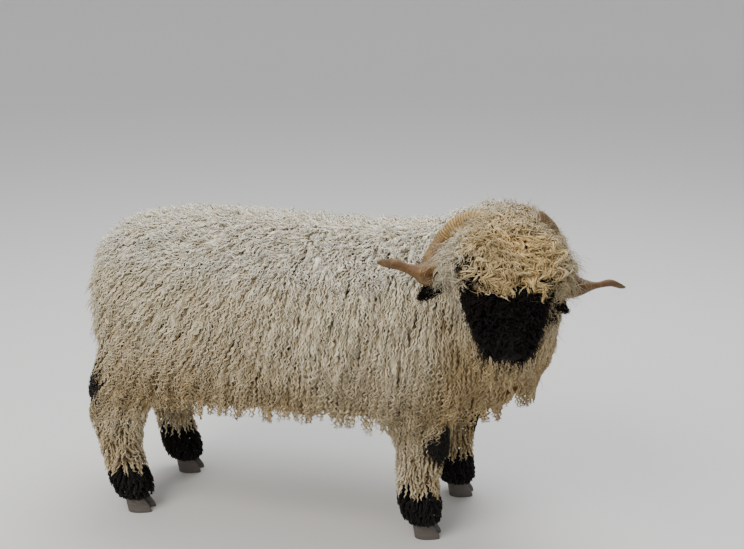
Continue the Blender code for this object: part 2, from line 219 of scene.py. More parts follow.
# Name, stations, side and forward step of each leg
LEGS = (
    ("fore_right", FORE_LEG, -1, 0.0),
    ("fore_left", FORE_LEG, 1, LEFT_FORE_AHEAD),
    ("hind_right", HIND_LEG, -1, 0.0),
    ("hind_left", HIND_LEG, 1, LEFT_HIND_AHEAD),
)

# Where a long lock has its cross-sections: close together where it shows
LONG_STATIONS = (0, 0.15, 0.28, 0.38, 0.45, 0.51, 0.57, 0.63, 0.69, 0.75, 0.81, 0.86, 0.91, 0.955, 1.0)

MAP_DISC = 0.003  # width of a lock's place on the skin's map
ROOT_BURIED = 0.003  # how deep a lock starts under the skin
TRIES = 4.0  # random places for each one kept
SHAPE_SEED = 500  # added to a piece's seed for the draws that shape its locks
EYE_GAP = 0.0105  # no lock starts this near the middle of an eye's opening
HORN_ROOM = 0.004  # how far locks stay off a horn
FIBRE_STEP = 0.35  # how far the fibres' pattern moves on from one cross-section to the next
FIBRE_SHIFTS = (60, 91)  # how far apart two locks may be in that pattern

# Voxel size and smoothing passes of the wool's form, the body's skin and the head's skin
FORM_VOXELS = (0.0075, 5)
BODY_VOXELS = (0.0060, 8)
HEAD_VOXELS = (0.0027, 5)

# Soft lights: name, place, width, power and colour
SOFTBOXES = (
    ("key_light", (-1.6, -2.6, 3.6), 2.4, 147.0, (1.0, 0.96, 0.90)),
    ("top_light", (0.4, 1.2, 3.8), 3.0, 130.0, (0.95, 0.98, 1.0)),
)
SKY_COLOUR = (0.93, 0.96, 1.0, 1.0)
SKY_STRENGTH = 0.98
SENSOR_WIDTH = 36.0
FOCAL_PIXELS = 1000.0
PHOTO_WIDTH = 744.0

# Floor: radius and height of its rings. The rim curves up, so that no edge shows behind the sheep
FLOOR = ((0.6, 0), (4, 0), (9, 0), (10.5, 0.15), (12, 0.8), (13.2, 2.2), (14, 4.2), (14.3, 7))

# Directions of the head, and how drawn measures are placed

X, Y, Z = (Vector(row) for row in Matrix.Identity(3))
SIDES = (("left", 1), ("right", -1))
HEAD_TURN = Matrix.Rotation(HEAD_YAW, 3, "Z") @ Matrix.Rotation(HEAD_PITCH, 3, "Y") @ Matrix.Rotation(HEAD_ROLL, 3, "X")
LEFT, AHEAD, UP = HEAD_TURN @ Y, HEAD_TURN @ X, HEAD_TURN @ Z
HEAD_AXES = np.array([LEFT, AHEAD, UP])
TO_LEFT, FORWARD, _ = HEAD_AXES
DOWN = np.array([0, 0, -1.0])


def middle_of(node):
    low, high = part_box(node)
    return (Vector(low) + Vector(high)) / 2


POLL = (middle_of("eye_left") + middle_of("eye_right")) / 2 - AHEAD * EYE_AHEAD - UP * EYE_ABOVE
FROM_DRAWING = POLL - POLL_AS_DRAWN


def in_frame(x, y, z):
    return Vector((x, y, z)) + FROM_DRAWING


def drawn(points):
    """Positions in the frame, given back as they are in the drawing."""
    return np.asarray(points) - np.array(FROM_DRAWING)


def on_head(aside, ahead, above, side=1):
    """A place given in the head's directions. Side is 1 for the left and -1 for the right."""
    return POLL + LEFT * aside * side + AHEAD * ahead + UP * above


def head_place(points):
    """Aside, ahead and above of each point, from the poll, in the head's directions."""
    return (np.asarray(points) - np.array(POLL)) @ HEAD_AXES.T


def ramp(values, start, end):
    """0 before start and 1 after end, eased in between. Start may be above end."""
    t = np.clip((np.asarray(values, float) - start) / (end - start), 0, 1)
    return t * t * (3 - 2 * t)


def unit(vectors):
    return vectors / np.maximum(np.linalg.norm(vectors, axis=-1, keepdims=True), 1e-9)


def waves(points, length, seed):
    """A soft repeatable noise of about -1 to 1 with this wavelength, made of crossing waves."""
    rng = np.random.default_rng(seed)
    total = np.zeros(len(points))
    for _ in range(6):
        way = unit(rng.normal(size=3)) * rng.uniform(0.6, 1.5)
        total += np.sin(2 * np.pi * (points @ way) / length + rng.uniform(0, 2 * np.pi))
    return total / 2.6


# Shader expressions


class Wire:
    """A socket in a sum: an expression on wires adds the Math nodes that work it out."""

    def __init__(self, finish, socket):
        self.finish, self.socket = finish, socket

    def math(self, operation, *others):
        return self.finish.add("ShaderNodeMath", {"operation": operation}, dict(enumerate((self, *others))))

    def __add__(self, other):
        return self.math("ADD", other)

    def __mul__(self, other):
        return self.math("MULTIPLY", other)

    def eased(self, start, end):
        """0 before start and 1 after end, eased in between."""
        sockets = {"Value": self, "From Min": start, "From Max": end}
        return self.finish.add("ShaderNodeMapRange", {"interpolation_type": "SMOOTHSTEP"}, sockets)

    __radd__ = __add__
    __rmul__ = __mul__


class Finish:
    """A material with one Principled BSDF, and the nodes that feed it."""

    def __init__(self, name):
        self.material = bpy.data.materials.new(name)
        self.material.use_nodes = True
        self.tree = self.material.node_tree
        self.shader = self.tree.nodes["Principled BSDF"]

    def connect(self, socket, value):
        if isinstance(value, Wire):
            self.tree.links.new(value.socket, socket)
        elif socket.type == "RGBA":
            socket.default_value = (*value, 1.0)
        else:
            socket.default_value = value

    def add(self, kind, settings=None, sockets=None, output=0):
        """Adds a node: its settings first, then the values or wires of its sockets."""
        node = self.tree.nodes.new(kind)
        for key, value in (settings or {}).items():
            setattr(node, key, value)
        for key, value in (sockets or {}).items():
            self.connect(node.inputs[key], value)
        return Wire(self, node.outputs[output])

    def attribute(self, name, output="Fac"):
        return self.add("ShaderNodeAttribute", {"attribute_name": name}, output=output)

    def channels(self, name):
        """The red, green and blue of a colour stored on the mesh."""
        colour = self.attribute(name, "Color")
        return [self.add("ShaderNodeSeparateColor", {}, {"Color": colour}, output=i) for i in range(3)]

    def mix(self, amount, first, second, blend="MIX"):
        """Mixes two colours."""
        settings = {"data_type": "RGBA", "blend_type": blend, "clamp_factor": True}
        return self.add("ShaderNodeMix", settings, {0: amount, 6: first, 7: second}, output=2)

    def noise(self, place, scale, detail=3.0, distortion=0.0):
        sockets = {"Vector": place, "Scale": scale, "Detail": detail, "Distortion": distortion}
        return self.add("ShaderNodeTexNoise", {}, sockets)

    def stretched(self, place, scale):
        return self.add("ShaderNodeMapping", {}, {"Vector": place, "Scale": scale})

    def here(self):
        """Object coordinates."""
        return self.add("ShaderNodeTexCoord", output="Object")

    def bump(self, height, strength, distance):
        sockets = {"Height": height, "Strength": strength, "Distance": distance}
        self.surface(Normal=self.add("ShaderNodeBump", {}, sockets))

    def surface(self, **sockets):
        """Sets the shader's sockets. An underscore in a name stands for a space."""
        for key, value in sockets.items():
            self.connect(self.shader.inputs[key.replace("_", " ")], value)
        return self.material


# Sizes and colours that a user may change


def length_property(name, description, default):
    return bpy.props.FloatProperty(
        name=name, description=description, default=default, min=0.0, subtype="DISTANCE", unit="LENGTH"
    )


def colour_property(name, description, default):
    return bpy.props.FloatVectorProperty(
        name=name, description=description, default=default, min=0.0, max=1.0, subtype="COLOR"
    )


class FleeceSizes(bpy.types.PropertyGroup):
    """Sizes of the wool's locks."""

    width: length_property("Lock Width", "Widest part of a flank lock", 0.0053)
    length: length_property("Lock Length", "Length of a flank lock outside the fleece", 0.068)
    spacing: length_property("Lock Spacing", "Distance between neighbouring flank locks", 0.0102)
    crimp: length_property("Crimp", "Length of one wave of a flank lock", 0.0150)
    swing: length_property("Crimp Swing", "How far a wave leaves the lock's line", 0.0027)


class FleeceColours(bpy.types.PropertyGroup):
    """Colours of the wool."""

    cream: colour_property("Cream", "Wool of the flanks", (0.88, 0.805, 0.635))
    # Pale stands partly for sun-bleached wool and partly for painted light on the back, which faces up
    pale: colour_property("Pale", "Sun-bleached wool of the back", (0.93, 0.905, 0.82))
    # Warm stands for stain and also for painted shade low down, under the chin and on the lower cheeks
    warm: colour_property("Warm", "Stained wool of the lower flanks", (0.56, 0.43, 0.245))
    gold: colour_property("Gold", "Curls of the forehead", (0.77, 0.575, 0.285))
    black: colour_property("Black", "Wool of the face, ears and feet", (0.0052, 0.0040, 0.0034))
    rust: colour_property("Rust", "Tips of the black wool", (0.036, 0.020, 0.013))
    bare: colour_property("Skin", "Skin under the wool", (0.62, 0.52, 0.38))


class HornLooks(bpy.types.PropertyGroup):
    """Colours of the horns and the claws."""

    amber: colour_property("Amber", "Worn outer half of the horn", (0.124, 0.053, 0.007))
    bone: colour_property("Bone", "Young horn near the head", (0.43, 0.265, 0.080))
    # Dark is also painted over the whole left horn as shade
    dark: colour_property("Dark", "Grooves and stains", (0.040, 0.017, 0.006))
    claw: colour_property("Claw", "Claws", (0.050, 0.042, 0.036))


class StageLooks(bpy.types.PropertyGroup):
    """Camera, floor and light."""

    camera_height: length_property("Camera Height", "Height of the camera above the floor", 1.376)
    camera_distance: length_property("Camera Distance", "Level distance to the camera", 2.40)
    camera_aside: length_property("Camera Aside", "How far the camera stands towards the head", 0.11)
    turn: bpy.props.FloatProperty(
        name="Turn", description="Turn of the view", default=math.radians(10), subtype="ANGLE"
    )
    tilt: bpy.props.FloatProperty(
        name="Tilt", description="Downward tilt of the view", default=math.radians(17), subtype="ANGLE"
    )
    floor: colour_property("Floor", "Floor", (0.62, 0.61, 0.59))


# Closed bodies from cross-sections


def smooth_stations(stations, steps):
    """Catmull-Rom values through the stations, with this many steps from each to the next."""
    values = np.array(stations, float)
    padded = np.vstack([2 * values[0] - values[1], values, 2 * values[-1] - values[-2]])
    rows = []
    for i in range(len(values) - 1):
        before, start, end, after = padded[i : i + 4]
        for t in np.linspace(0, 1, steps, endpoint=False):
            rows.append(
                0.5 * (2 * start + (end - before) * t)
                + 0.5 * (2 * before - 5 * start + 4 * end - after) * t**2
                + 0.5 * (3 * start - before - 3 * end + after) * t**3
            )
    return [*rows, values[-1]]


def oval(centre, across, up, half_width, above, below, corner=2.2, count=32):
    """Points of one rounded cross-section."""
    points = []
    for k in range(count):
        angle = 2 * math.pi * k / count
        c, s = math.cos(angle), math.sin(angle)
        reach = above if s > 0 else below
        aside = half_width * math.copysign(abs(c) ** (2 / corner), c)
        points.append(centre + across * aside + up * reach * math.copysign(abs(s) ** (2 / corner), s))
    return points


def add_loft(mesh, rings):
    """A closed tube through the rings, with a flat cap on each end."""
    loops = [[mesh.verts.new(point) for point in ring] for ring in rings]
    count = len(loops[0])
    for first, second in zip(loops, loops[1:]):
        for k in range(count):
            after = (k + 1) % count
            mesh.faces.new((first[k], first[after], second[after], second[k]))
    mesh.faces.new(reversed(loops[0]))
    mesh.faces.new(loops[-1])


def new_object(name, mesh):
    made = bpy.data.objects.new(name, mesh)
    bpy.context.scene.collection.objects.link(made)
    return made


def object_from(name, build, turn_out=True):
    """A new object whose mesh the build function fills, with its faces turned to point out."""
    shape = bmesh.new()
    build(shape)
    if turn_out:
        bmesh.ops.recalc_face_normals(shape, faces=shape.faces)
    mesh = bpy.data.meshes.new(name)
    shape.to_mesh(mesh)
    shape.free()
    return new_object(name, mesh)


def settle(obj):
    """Replaces the object's mesh by what its modifiers make of it."""
    graph = bpy.context.evaluated_depsgraph_get()
    mesh = bpy.data.meshes.new_from_object(obj.evaluated_get(graph))
    obj.modifiers.clear()
    obj.data = mesh
    return obj


def remeshed(obj, voxel, smoothing):
    """The object as one closed skin of even faces."""
    remesh = obj.modifiers.new("join", "REMESH")
    remesh.mode = "VOXEL"
    remesh.voxel_size = voxel
    soften = obj.modifiers.new("soften", "SMOOTH")
    soften.factor, soften.iterations = 0.5, smoothing
    return settle(obj)


def along_at(centres, i):
    return (centres[min(i + 1, len(centres) - 1)] - centres[max(i - 1, 0)]).normalized()


def trunk_rings():
    for x, half_width, top, bottom in smooth_stations(TRUNK, 4):
        middle = (top + bottom) / 2
        yield oval(in_frame(x, 0, middle), Y, Z, half_width, top - middle, middle - bottom)


def neck_rings():
    rows = smooth_stations(NECK, 4)
    centres = [in_frame(*row[:3]) for row in rows]
    for i, (centre, row) in enumerate(zip(centres, rows)):
        along = centres[min(i + 1, len(rows) - 1)] - centres[max(i - 1, 0)]
        along.z *= 0.45
        across = Z.cross(along).normalized()
        yield oval(centre, across, along.cross(across).normalized(), *row[3:])


def head_rings():
    for ahead, half_width, above, below in smooth_stations(HEAD, 4):
        yield oval(on_head(0, ahead, 0), LEFT, UP, half_width, above, below)


def jaw_rings():
    for ahead, drop, half_width, half_height in smooth_stations(JAW, 3):
        yield oval(on_head(0, ahead, -drop), LEFT, UP, half_width, half_height, half_height)


def leg_rings(stations, side, ahead):
    for x, out, z, half_length, half_width in smooth_stations(stations, 4):
        yield oval(in_frame(x + ahead, side * out, z), X, Y, half_length, half_width, half_width)


def tail_rings():
    rows = smooth_stations(TAIL, 3)
    centres = [in_frame(row[0], 0, row[1]) for row in rows]
    for i, (centre, row) in enumerate(zip(centres, rows)):
        back = along_at(centres, i).cross(Y).normalized()
        yield oval(centre, Y, back, row[2], row[3], row[3], count=16)


def ear_rings(side):
    rows = smooth_stations(EAR, 4)
    centres = [on_head(*row[:3], side) for row in rows]
    across = Vector(AHEAD)
    for i, (centre, row) in enumerate(zip(centres, rows)):
        along = along_at(centres, i)
        across = (across - along * across.dot(along)).normalized()
        yield oval(centre, across, along.cross(across), row[3], row[4], row[4], corner=2.0, count=20)


# Skin and the form of the wool


def numbers(items, name, width, kind=float):
    """One property of all items, as an array with this many columns."""
    found = np.empty(len(items) * width, dtype=np.int32 if kind is int else np.float32)
    items.foreach_get(name, found)
    return found.reshape(-1, width).astype(kind)


def set_numbers(items, name, values, kind=np.float32):
    items.foreach_set(name, values.astype(kind).ravel())


def store(mesh, name, *columns):
    """Stores a colour for each vertex, from three columns or one array of colours."""
    layer = mesh.attributes.new(name, "FLOAT_COLOR", "POINT")
    set_numbers(layer.data, "color", np.column_stack([*columns, np.ones(len(columns[0]))]))


class Surface:
    """A mesh's triangles, with fast nearest-point look-up and places on its UV map."""

    def __init__(self, mesh):
        mesh.calc_loop_triangles()
        self.points = numbers(mesh.vertices, "co", 3)
        self.triangles = numbers(mesh.loop_triangles, "vertices", 3, int)
        self.loops = numbers(mesh.loop_triangles, "loops", 3, int)
        self.tree = BVHTree.FromPolygons(self.points.tolist(), self.triangles.tolist())
        self.map = numbers(mesh.uv_layers[0].uv, "vector", 2) if mesh.uv_layers else None

    def corners(self, triangles=slice(None)):
        return (self.points[self.triangles[triangles, i]] for i in range(3))

    def nearest(self, points):
        """Nearest place, its normal and its triangle, for each point."""
        found = (self.tree.find_nearest(Vector(point)) for point in points.tolist())
        return [np.array(values) for values in zip(*found)][:3]

    def area(self):
        a, b, c = self.corners()
        return np.linalg.norm(np.cross(b - a, c - a), axis=1).sum() / 2

    def scattered(self, count, rng):
        """Places spread evenly at random over the surface, and their normals."""
        a, b, c = self.corners()
        crossed = np.cross(b - a, c - a)
        area = np.linalg.norm(crossed, axis=1)
        chosen = rng.choice(len(area), size=count, p=area / area.sum())
        u, v = rng.random((2, count))
        flip = u + v > 1
        u[flip], v[flip] = 1 - u[flip], 1 - v[flip]
        places = a[chosen] + (b - a)[chosen] * u[:, None] + (c - a)[chosen] * v[:, None]
        return places, unit(crossed[chosen])

    def on_map(self, places, triangles):
        """Each place on the UV map, by its weights in its triangle."""
        a, b, c = self.corners(triangles)
        ab, ac, ap = b - a, c - a, places - a
        d00, d01, d11 = (ab * ab).sum(1), (ab * ac).sum(1), (ac * ac).sum(1)
        d20, d21 = (ap * ab).sum(1), (ap * ac).sum(1)
        scale = np.maximum(d00 * d11 - d01 * d01, 1e-18)
        v, w = (d11 * d20 - d01 * d21) / scale, (d00 * d21 - d01 * d20) / scale
        weights = np.stack([1 - v - w, v, w], 1).clip(0, 1)
        return (self.map[self.loops[triangles]] * weights[:, :, None]).sum(1)


def black_at(points, over_face=False):
    """How black the wool and skin are at each point, from 0 to 1: face, ears, knees, hocks and feet.

    Curls that are over the face take no black from it.
    """
    place = head_place(points)
    aside, ahead, above = place.T
    aside = np.abs(aside)
    x, y, z = drawn(points).T
    ragged = 0.010 * waves(points, 0.035, 5) + 0.005 * waves(points, 0.014, 6)
    near = ramp(np.linalg.norm(place / [0.19, 0.30, 0.17], axis=1), 1.0, 0.92)
    brow = ramp(aside, 0.064, 0.054) * ramp(above, 0.010, 0.030)
    beside = ramp(aside, 0.088, 0.098)
    below = ramp(above, -0.035, -0.070)
    edge = 0.090 + 0.020 * brow + 0.030 * np.maximum(beside, below)
    face = ramp(ahead + (1.0 + 0.7 * below) * ragged, edge - 0.006, edge + 0.014) * near
    black = [face * (not over_face)]
    for spot, size in BLACK_SPOTS:
        black.append(ramp(np.linalg.norm(place - spot, axis=1) + 0.4 * ragged, size, size * 0.7))
    for _, side in SIDES:
        for row in EAR[1:]:
            reach = np.linalg.norm(place - np.array(row[:3]) * [side, 1, 1], axis=1)
            black.append(ramp(reach, 0.034, 0.028))
    hind = x < -0.2
    x = x - np.where(y > 0, np.where(hind, LEFT_HIND_AHEAD, LEFT_FORE_AHEAD), 0.0)
    black.append(ramp(z + ragged, 0.135, 0.120))
    black.append(ramp(np.hypot((x + 0.588) / 0.054, (z + ragged - 0.392) / 0.062), 1.0, 0.8) * hind)
    black.append(ramp(np.hypot((x - 0.312) / 0.046, (z + ragged - 0.262) / 0.055), 1.0, 0.8) * ~hind)
    tail = np.linalg.norm((drawn(points) - [-0.600, -0.006, 0.682]) / [1, 1, 1.3], axis=1)
    black.append(ramp(tail + ragged, 0.030, 0.022))
    return np.maximum.reduce(black)


def wool_tint(points, normals, rng):
    """The wool's colour: pale on the back, partly sun-bleached and partly painted light from above; cream on the sides;
    darker and warm low down, under the chin and on the lower cheeks, partly stain and partly painted shade; lighter on
    the shoulder as painted light; and gold on the crown.
    """
    colours = bpy.context.scene.sheep_colours
    cream, pale, warm, gold = (np.array(c) for c in (colours.cream, colours.pale, colours.warm, colours.gold))
    place = head_place(points)
    aside, ahead, above = place.T
    x, height = drawn(points)[:, 0], points[:, 2]
    near = ramp(np.linalg.norm(place, axis=1), 0.24, 0.16)
    patchy = 0.20 * waves(points, 0.20, 11) + 0.10 * waves(points, 0.05, 12) + rng.normal(0, 0.08, len(points))
    # Wool that faces up is drawn pale: partly sun-bleached, partly painted light from above
    top = ramp(normals[:, 2], 0.05, 0.75) * ramp(height, 0.62, 0.72) * (1 - near)

    # Darker and warmer low down: partly stain, partly painted shade near the ground
    low = ramp(height, 0.66, 0.36) ** 1.3 * (1 - 0.45 * ramp(height, 0.38, 0.26))
    # Under the chin: partly stain, partly a painted shadow below the head
    breast_stain_and_shadow = ramp(x, 0.26, 0.38) * ramp(height, 0.72, 0.56)
    # Lower cheeks, most on the head's left: partly stain, partly painted shade
    chops_stain_and_shade = near * ramp(above, 0.02, -0.05) * (0.3 + 2.3 * ramp(aside, -0.02, 0.05))
    # Less stain on the shoulder: painted light that makes it lighter
    shoulder_painted_light = ramp(x, -0.02, 0.06) * ramp(x, 0.27, 0.20) * (1 - near)
    stain_and_shade = low * 0.95 - 0.26 * shoulder_painted_light + 0.60 * breast_stain_and_shadow + 0.30 * chops_stain_and_shade + patchy * 0.6 * (1 - top)
    stain_and_shade = np.clip(stain_and_shade, 0, 1)[:, None]
    tint = cream * (1 - top[:, None]) + pale * top[:, None]
    tint = tint * (1 - stain_and_shade) + warm * stain_and_shade

    crown = ramp(np.abs(aside), 0.105, 0.080) * (0.48 + 0.52 * ramp(ahead, -0.030, 0.015)) * ramp(above, -0.02, 0.03)
    crown = np.maximum(crown, 0.55 * ramp(aside, 0.055, 0.085) * ramp(above, -0.07, -0.01))
    crown = np.clip(crown * near * (0.85 + 0.5 * patchy), 0, 1)[:, None]
    return tint * (1 - crown) + gold * (1 + 0.25 * patchy[:, None]) * crown


BODY = {}  # surfaces that are made once and used by every kind of wool


def form_of(nodes, join):
    """The outer surface of these solids' wool. The trunk and what grows from it are joined into one closed surface."""

    def build(shape):
        for node in nodes:
            shape.from_mesh(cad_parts[node].data)

    obj = object_from("wool_form", build, turn_out=join)
    if join:
        remeshed(obj, *FORM_VOXELS)
    made = Surface(obj.data)
    bpy.data.objects.remove(obj)
    return made


def wool_form():
    """The outer surface of all wool but that of the ears."""
    if "form" not in BODY:
        BODY["form"] = form_of([node for node in FLESH_NODES if not node.startswith("ear")], True)
    return BODY["form"]


def sculpt_face(obj):
    """Nostrils, lips and the bridge of the nose, moved in the skin of the head."""
    mesh = obj.data
    points = numbers(mesh.vertices, "co", 3)
    normals = numbers(mesh.vertices, "normal", 3)
    aside, ahead, above = head_place(points).T
    push = np.zeros(len(points))
    # Comma-shaped nostrils with a rim
    across = (np.abs(aside) - 0.017 - 0.35 * (ahead - 0.235)) / 0.0065
    along = (ahead - 0.234) / 0.013
    push -= 0.011 * (np.exp(-(across**2) - along**2) * ramp(above, -0.012, -0.002))
    rim = np.exp(-((np.hypot(across, along) - 1.7) ** 2) / 0.25) * ramp(above, -0.014, -0.002)
    push += 0.0022 * (rim * ramp(ahead, 0.20, 0.22))
    # Groove from the nose down to the lip, and the mouth along each side, between its lips
    groove = np.exp(-((aside / 0.0022) ** 2)) * ramp(ahead, 0.232, 0.240)
    push -= 0.003 * (groove * ramp(above, 0.008, -0.002))
    mouth = above - (-0.021 - 0.10 * (0.235 - ahead))
    push -= 0.0035 * (np.exp(-((mouth / 0.0026) ** 2)) * ramp(ahead, 0.165, 0.185))
    push += 0.0012 * (np.exp(-(((np.abs(mouth) - 0.006) / 0.004) ** 2)) * ramp(ahead, 0.175, 0.20))
    set_numbers(mesh.vertices, "co", points + normals * push[:, None])
    mesh.update()


def lids(obj):
    """Draws the skin round each eyeball into two lids with an almond opening between them."""
    shape = bmesh.new()
    shape.from_mesh(obj.data)
    centres = [on_head(EYE_ASIDE, EYE_AHEAD, EYE_ABOVE, side) for side in (1, -1)]
    for _ in range(2):
        near = [
            edge for edge in shape.edges
            if min((edge.verts[0].co - centre).length for centre in centres) < 0.023
        ]
        bmesh.ops.subdivide_edges(shape, edges=near, cuts=1, use_grid_fill=True)
    bmesh.ops.triangulate(shape, faces=[face for face in shape.faces if len(face.verts) > 4])
    for side, centre in zip((1, -1), centres):
        gaze = (LEFT * side * 0.90 + AHEAD * 0.36 + UP * 0.22).normalized()
        along = (AHEAD - gaze * AHEAD.dot(gaze)).normalized()
        upward = gaze.cross(along) * (1 if gaze.cross(along).dot(UP) > 0 else -1)
        for vertex in shape.verts:
            out = vertex.co - centre
            reach = out.length
            if reach > 0.034:
                continue
            way = out.normalized()
            facing = way.dot(gaze)
            if facing < 0.05:
                continue
            s, t = way.dot(along) / 0.80, way.dot(upward)
            opening = 0.44 * max(0.0, 1 - s * s) ** 0.8
            inside = opening - abs(t - 0.04)
            hold = float(ramp(reach, 0.034, 0.022)) * float(ramp(facing, 0.05, 0.35))
            if inside > 0 and facing > 0.3:
                goal = EYE_RADIUS - 0.0030
            else:
                fold = 0.0012 * math.exp(-(((-inside - 0.20) / 0.09) ** 2))
                goal = EYE_RADIUS + 0.0024 - fold + 0.004 * float(ramp(-inside, 0.25, 0.7))
            vertex.co = centre + way * (reach + (goal - reach) * hold)
    shape.to_mesh(obj.data)
    shape.free()


def unwrap(obj):
    """A UV map of the skin's own shape, which the coat's tufts also use."""
    bpy.ops.object.select_all(action="DESELECT")
    obj.select_set(True)
    bpy.context.view_layer.objects.active = obj
    obj.data.uv_layers.new(name="OFBake")
    bpy.ops.object.mode_set(mode="EDIT")
    bpy.ops.mesh.select_all(action="SELECT")
    bpy.ops.uv.smart_project(angle_limit=1.15, island_margin=0.002, scale_to_bounds=True)
    bpy.ops.object.mode_set(mode="OBJECT")


def make_skin():
    """The bare body as one closed skin, finer on the head."""

    def build_body(shape):
        for rings in (trunk_rings(), neck_rings(), tail_rings()):
            add_loft(shape, list(rings))
        for _, stations, side, ahead in LEGS:
            add_loft(shape, list(leg_rings(stations, side, ahead)))

    def build_head(shape):
        for rings in (head_rings(), jaw_rings(), ear_rings(1), ear_rings(-1)):
            add_loft(shape, list(rings))

    skin = remeshed(object_from("skin", build_body), *BODY_VOXELS)
    head = remeshed(object_from("skin_head", build_head), *HEAD_VOXELS)
    sculpt_face(head)
    lids(head)
    join = skin.modifiers.new("head", "BOOLEAN")
    join.operation, join.object, join.solver = "UNION", head, "MANIFOLD"
    settle(skin)
    bpy.data.objects.remove(head)
    skin.data.materials.clear()
    unwrap(skin)
    points = numbers(skin.data.vertices, "co", 3)
    plain = np.full(len(points), 0.5)
    store(skin.data, "coat", plain, plain, black_at(points))
    BODY["skin"] = Surface(skin.data)
    return skin


def skin_finish():
    colours = bpy.context.scene.sheep_colours
    finish = Finish("skin")
    _, _, black = finish.channels("coat")
    pores = finish.noise(finish.here(), 900.0, 2.0)
    mottle = finish.noise(finish.here(), 60.0)
    bare = finish.mix(mottle, colours.bare, tuple(c * 0.62 for c in colours.bare))
    finish.bump(pores, 0.35, 0.0008)
    return finish.surface(
        Base_Color=finish.mix(black, bare, colours.black), Roughness=mottle * 0.2 + 0.6, Specular_IOR_Level=0.12
    )


def dress(made, material, slot, *nodes):
    """Gives a piece its material and puts it in the place of these solids. The slot is not used."""
    made.data.materials.append(material)
    made.data.shade_smooth()
    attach(made, "root")
    if nodes:
        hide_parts(*nodes)


# Locks of wool


def even(count, power=1.0):
    """Stations from 0 to 1. A power under 1 brings those near the tip closer together."""
    return tuple(np.linspace(0, 1, count) ** power)


def lookup(points):
    """A fast nearest-point look-up of these points."""
    tree = KDTree(len(points))
    for i, point in enumerate(points):
        tree.insert(point, i)
    tree.balance()
    return tree


def thinned(points, spacing):
    """Indices of points that are at least this far apart, in the order they come."""
    tree = lookup(points)
    free = np.ones(len(points), bool)
    kept = []
    for i, point in enumerate(points):
        if free[i]:
            kept.append(i)
            for _, j, _ in tree.find_range(point, spacing):
                free[j] = False
    return np.array(kept, int)


def seeds(keep, spacing, seed, surface):
    """Evenly spaced places on a surface where keep(places, normals) is true."""
    count = int(surface.area() / (spacing * spacing) * TRIES)
    places, normals = surface.scattered(count, np.random.default_rng(seed))
    chosen = keep(places, normals)
    places, normals = places[chosen], normals[chosen]
    kept = thinned(places.tolist(), spacing * 0.92)
    return places[kept], normals[kept]


class Coat:
    """How one kind of lock is shaped. Lengths are in metres.

    A lock dives `deep` under the wool's form at its start and stands `proud` of it at its tip. Its `length` is a number
    or a function of the place. Neighbours within a `staple` draw together by `gather` and wave in step: `crimp` long,
    `swing` to each side, and `curl` times that outward. `shag` lets a few staples stand further out, `lift` more of
    them at given places, and `falls` lets a lock hang straight down where the form turns under. `near_horns` keeps it
    out of the horns: a lock that they would push aside by more than `give` is left out. `over_face` keeps its colour
    where it hangs over the black face.
    """

    stations = (0, 0.13, 0.26, 0.37, 0.47, 0.56, 0.65, 0.74, 0.83, 0.92, 1.0)
    deep, proud, tuck = 0.013, 0.002, 1.3
    staple, gather = 0.024, 0.5
    crimp, swing, curl, hook = 0.014, 0.0020, 0.35, 0.4
    jitter, stray, back = 0.5, 0.10, 0.030
    flat, taper = 0.65, 0.45
    shag, give = 0.0, 0.012
    falls = near_horns = over_face = False
    lift = black = surface = None
    slot = "fleece"

    def __init__(self, **settings):
        self.__dict__.update(settings)


def walk(coat, surface, places, normals, lie, length, deep, proud, stray):
    """Steps over the form from each place along the lie, and gives each lock's path and its outward directions."""
    t = np.array(coat.stations)
    here, normal = places, normals
    path, facing = [], []
    for k in range(len(t)):
        seat, outward, _ = surface.nearest(here)
        normal = unit(normal * 0.4 + outward * 0.6) if k else outward
        held = ramp(outward[:, 2], -0.75, -0.20)[:, None] if coat.falls and k else np.ones((len(here), 1))
        depth = (deep * (1 - t[k]) ** coat.tuck - proud * t[k] ** 2)[:, None]
        path.append((seat - outward * depth) * held + (here - normal * depth * 0.3) * (1 - held))
        facing.append(normal)
        way = lie(seat, outward)
        tangent = unit(way - normal * (way * normal).sum(1, keepdims=True))
        tangent = unit(tangent * held + DOWN * (1 - held))
        tangent = unit(tangent + np.cross(normal, tangent) * stray[:, None])
        hanging = ((here - seat) * outward).sum(1)
        hem = 0.030 + 0.020 * ramp(np.abs(drawn(places)[:, 0] - 0.215), 0.13, 0.06)
        stride = length * (t[min(k + 1, len(t) - 1)] - t[k])
        stride = stride * (0.10 + 0.90 * ramp(hanging, hem, hem * 0.5))
        here = seat * held + here * (1 - held) + tangent * stride[:, None]
    return np.stack(path, 1), np.stack(facing, 1)


def along_paths(paths):
    return unit(np.gradient(paths, axis=1))


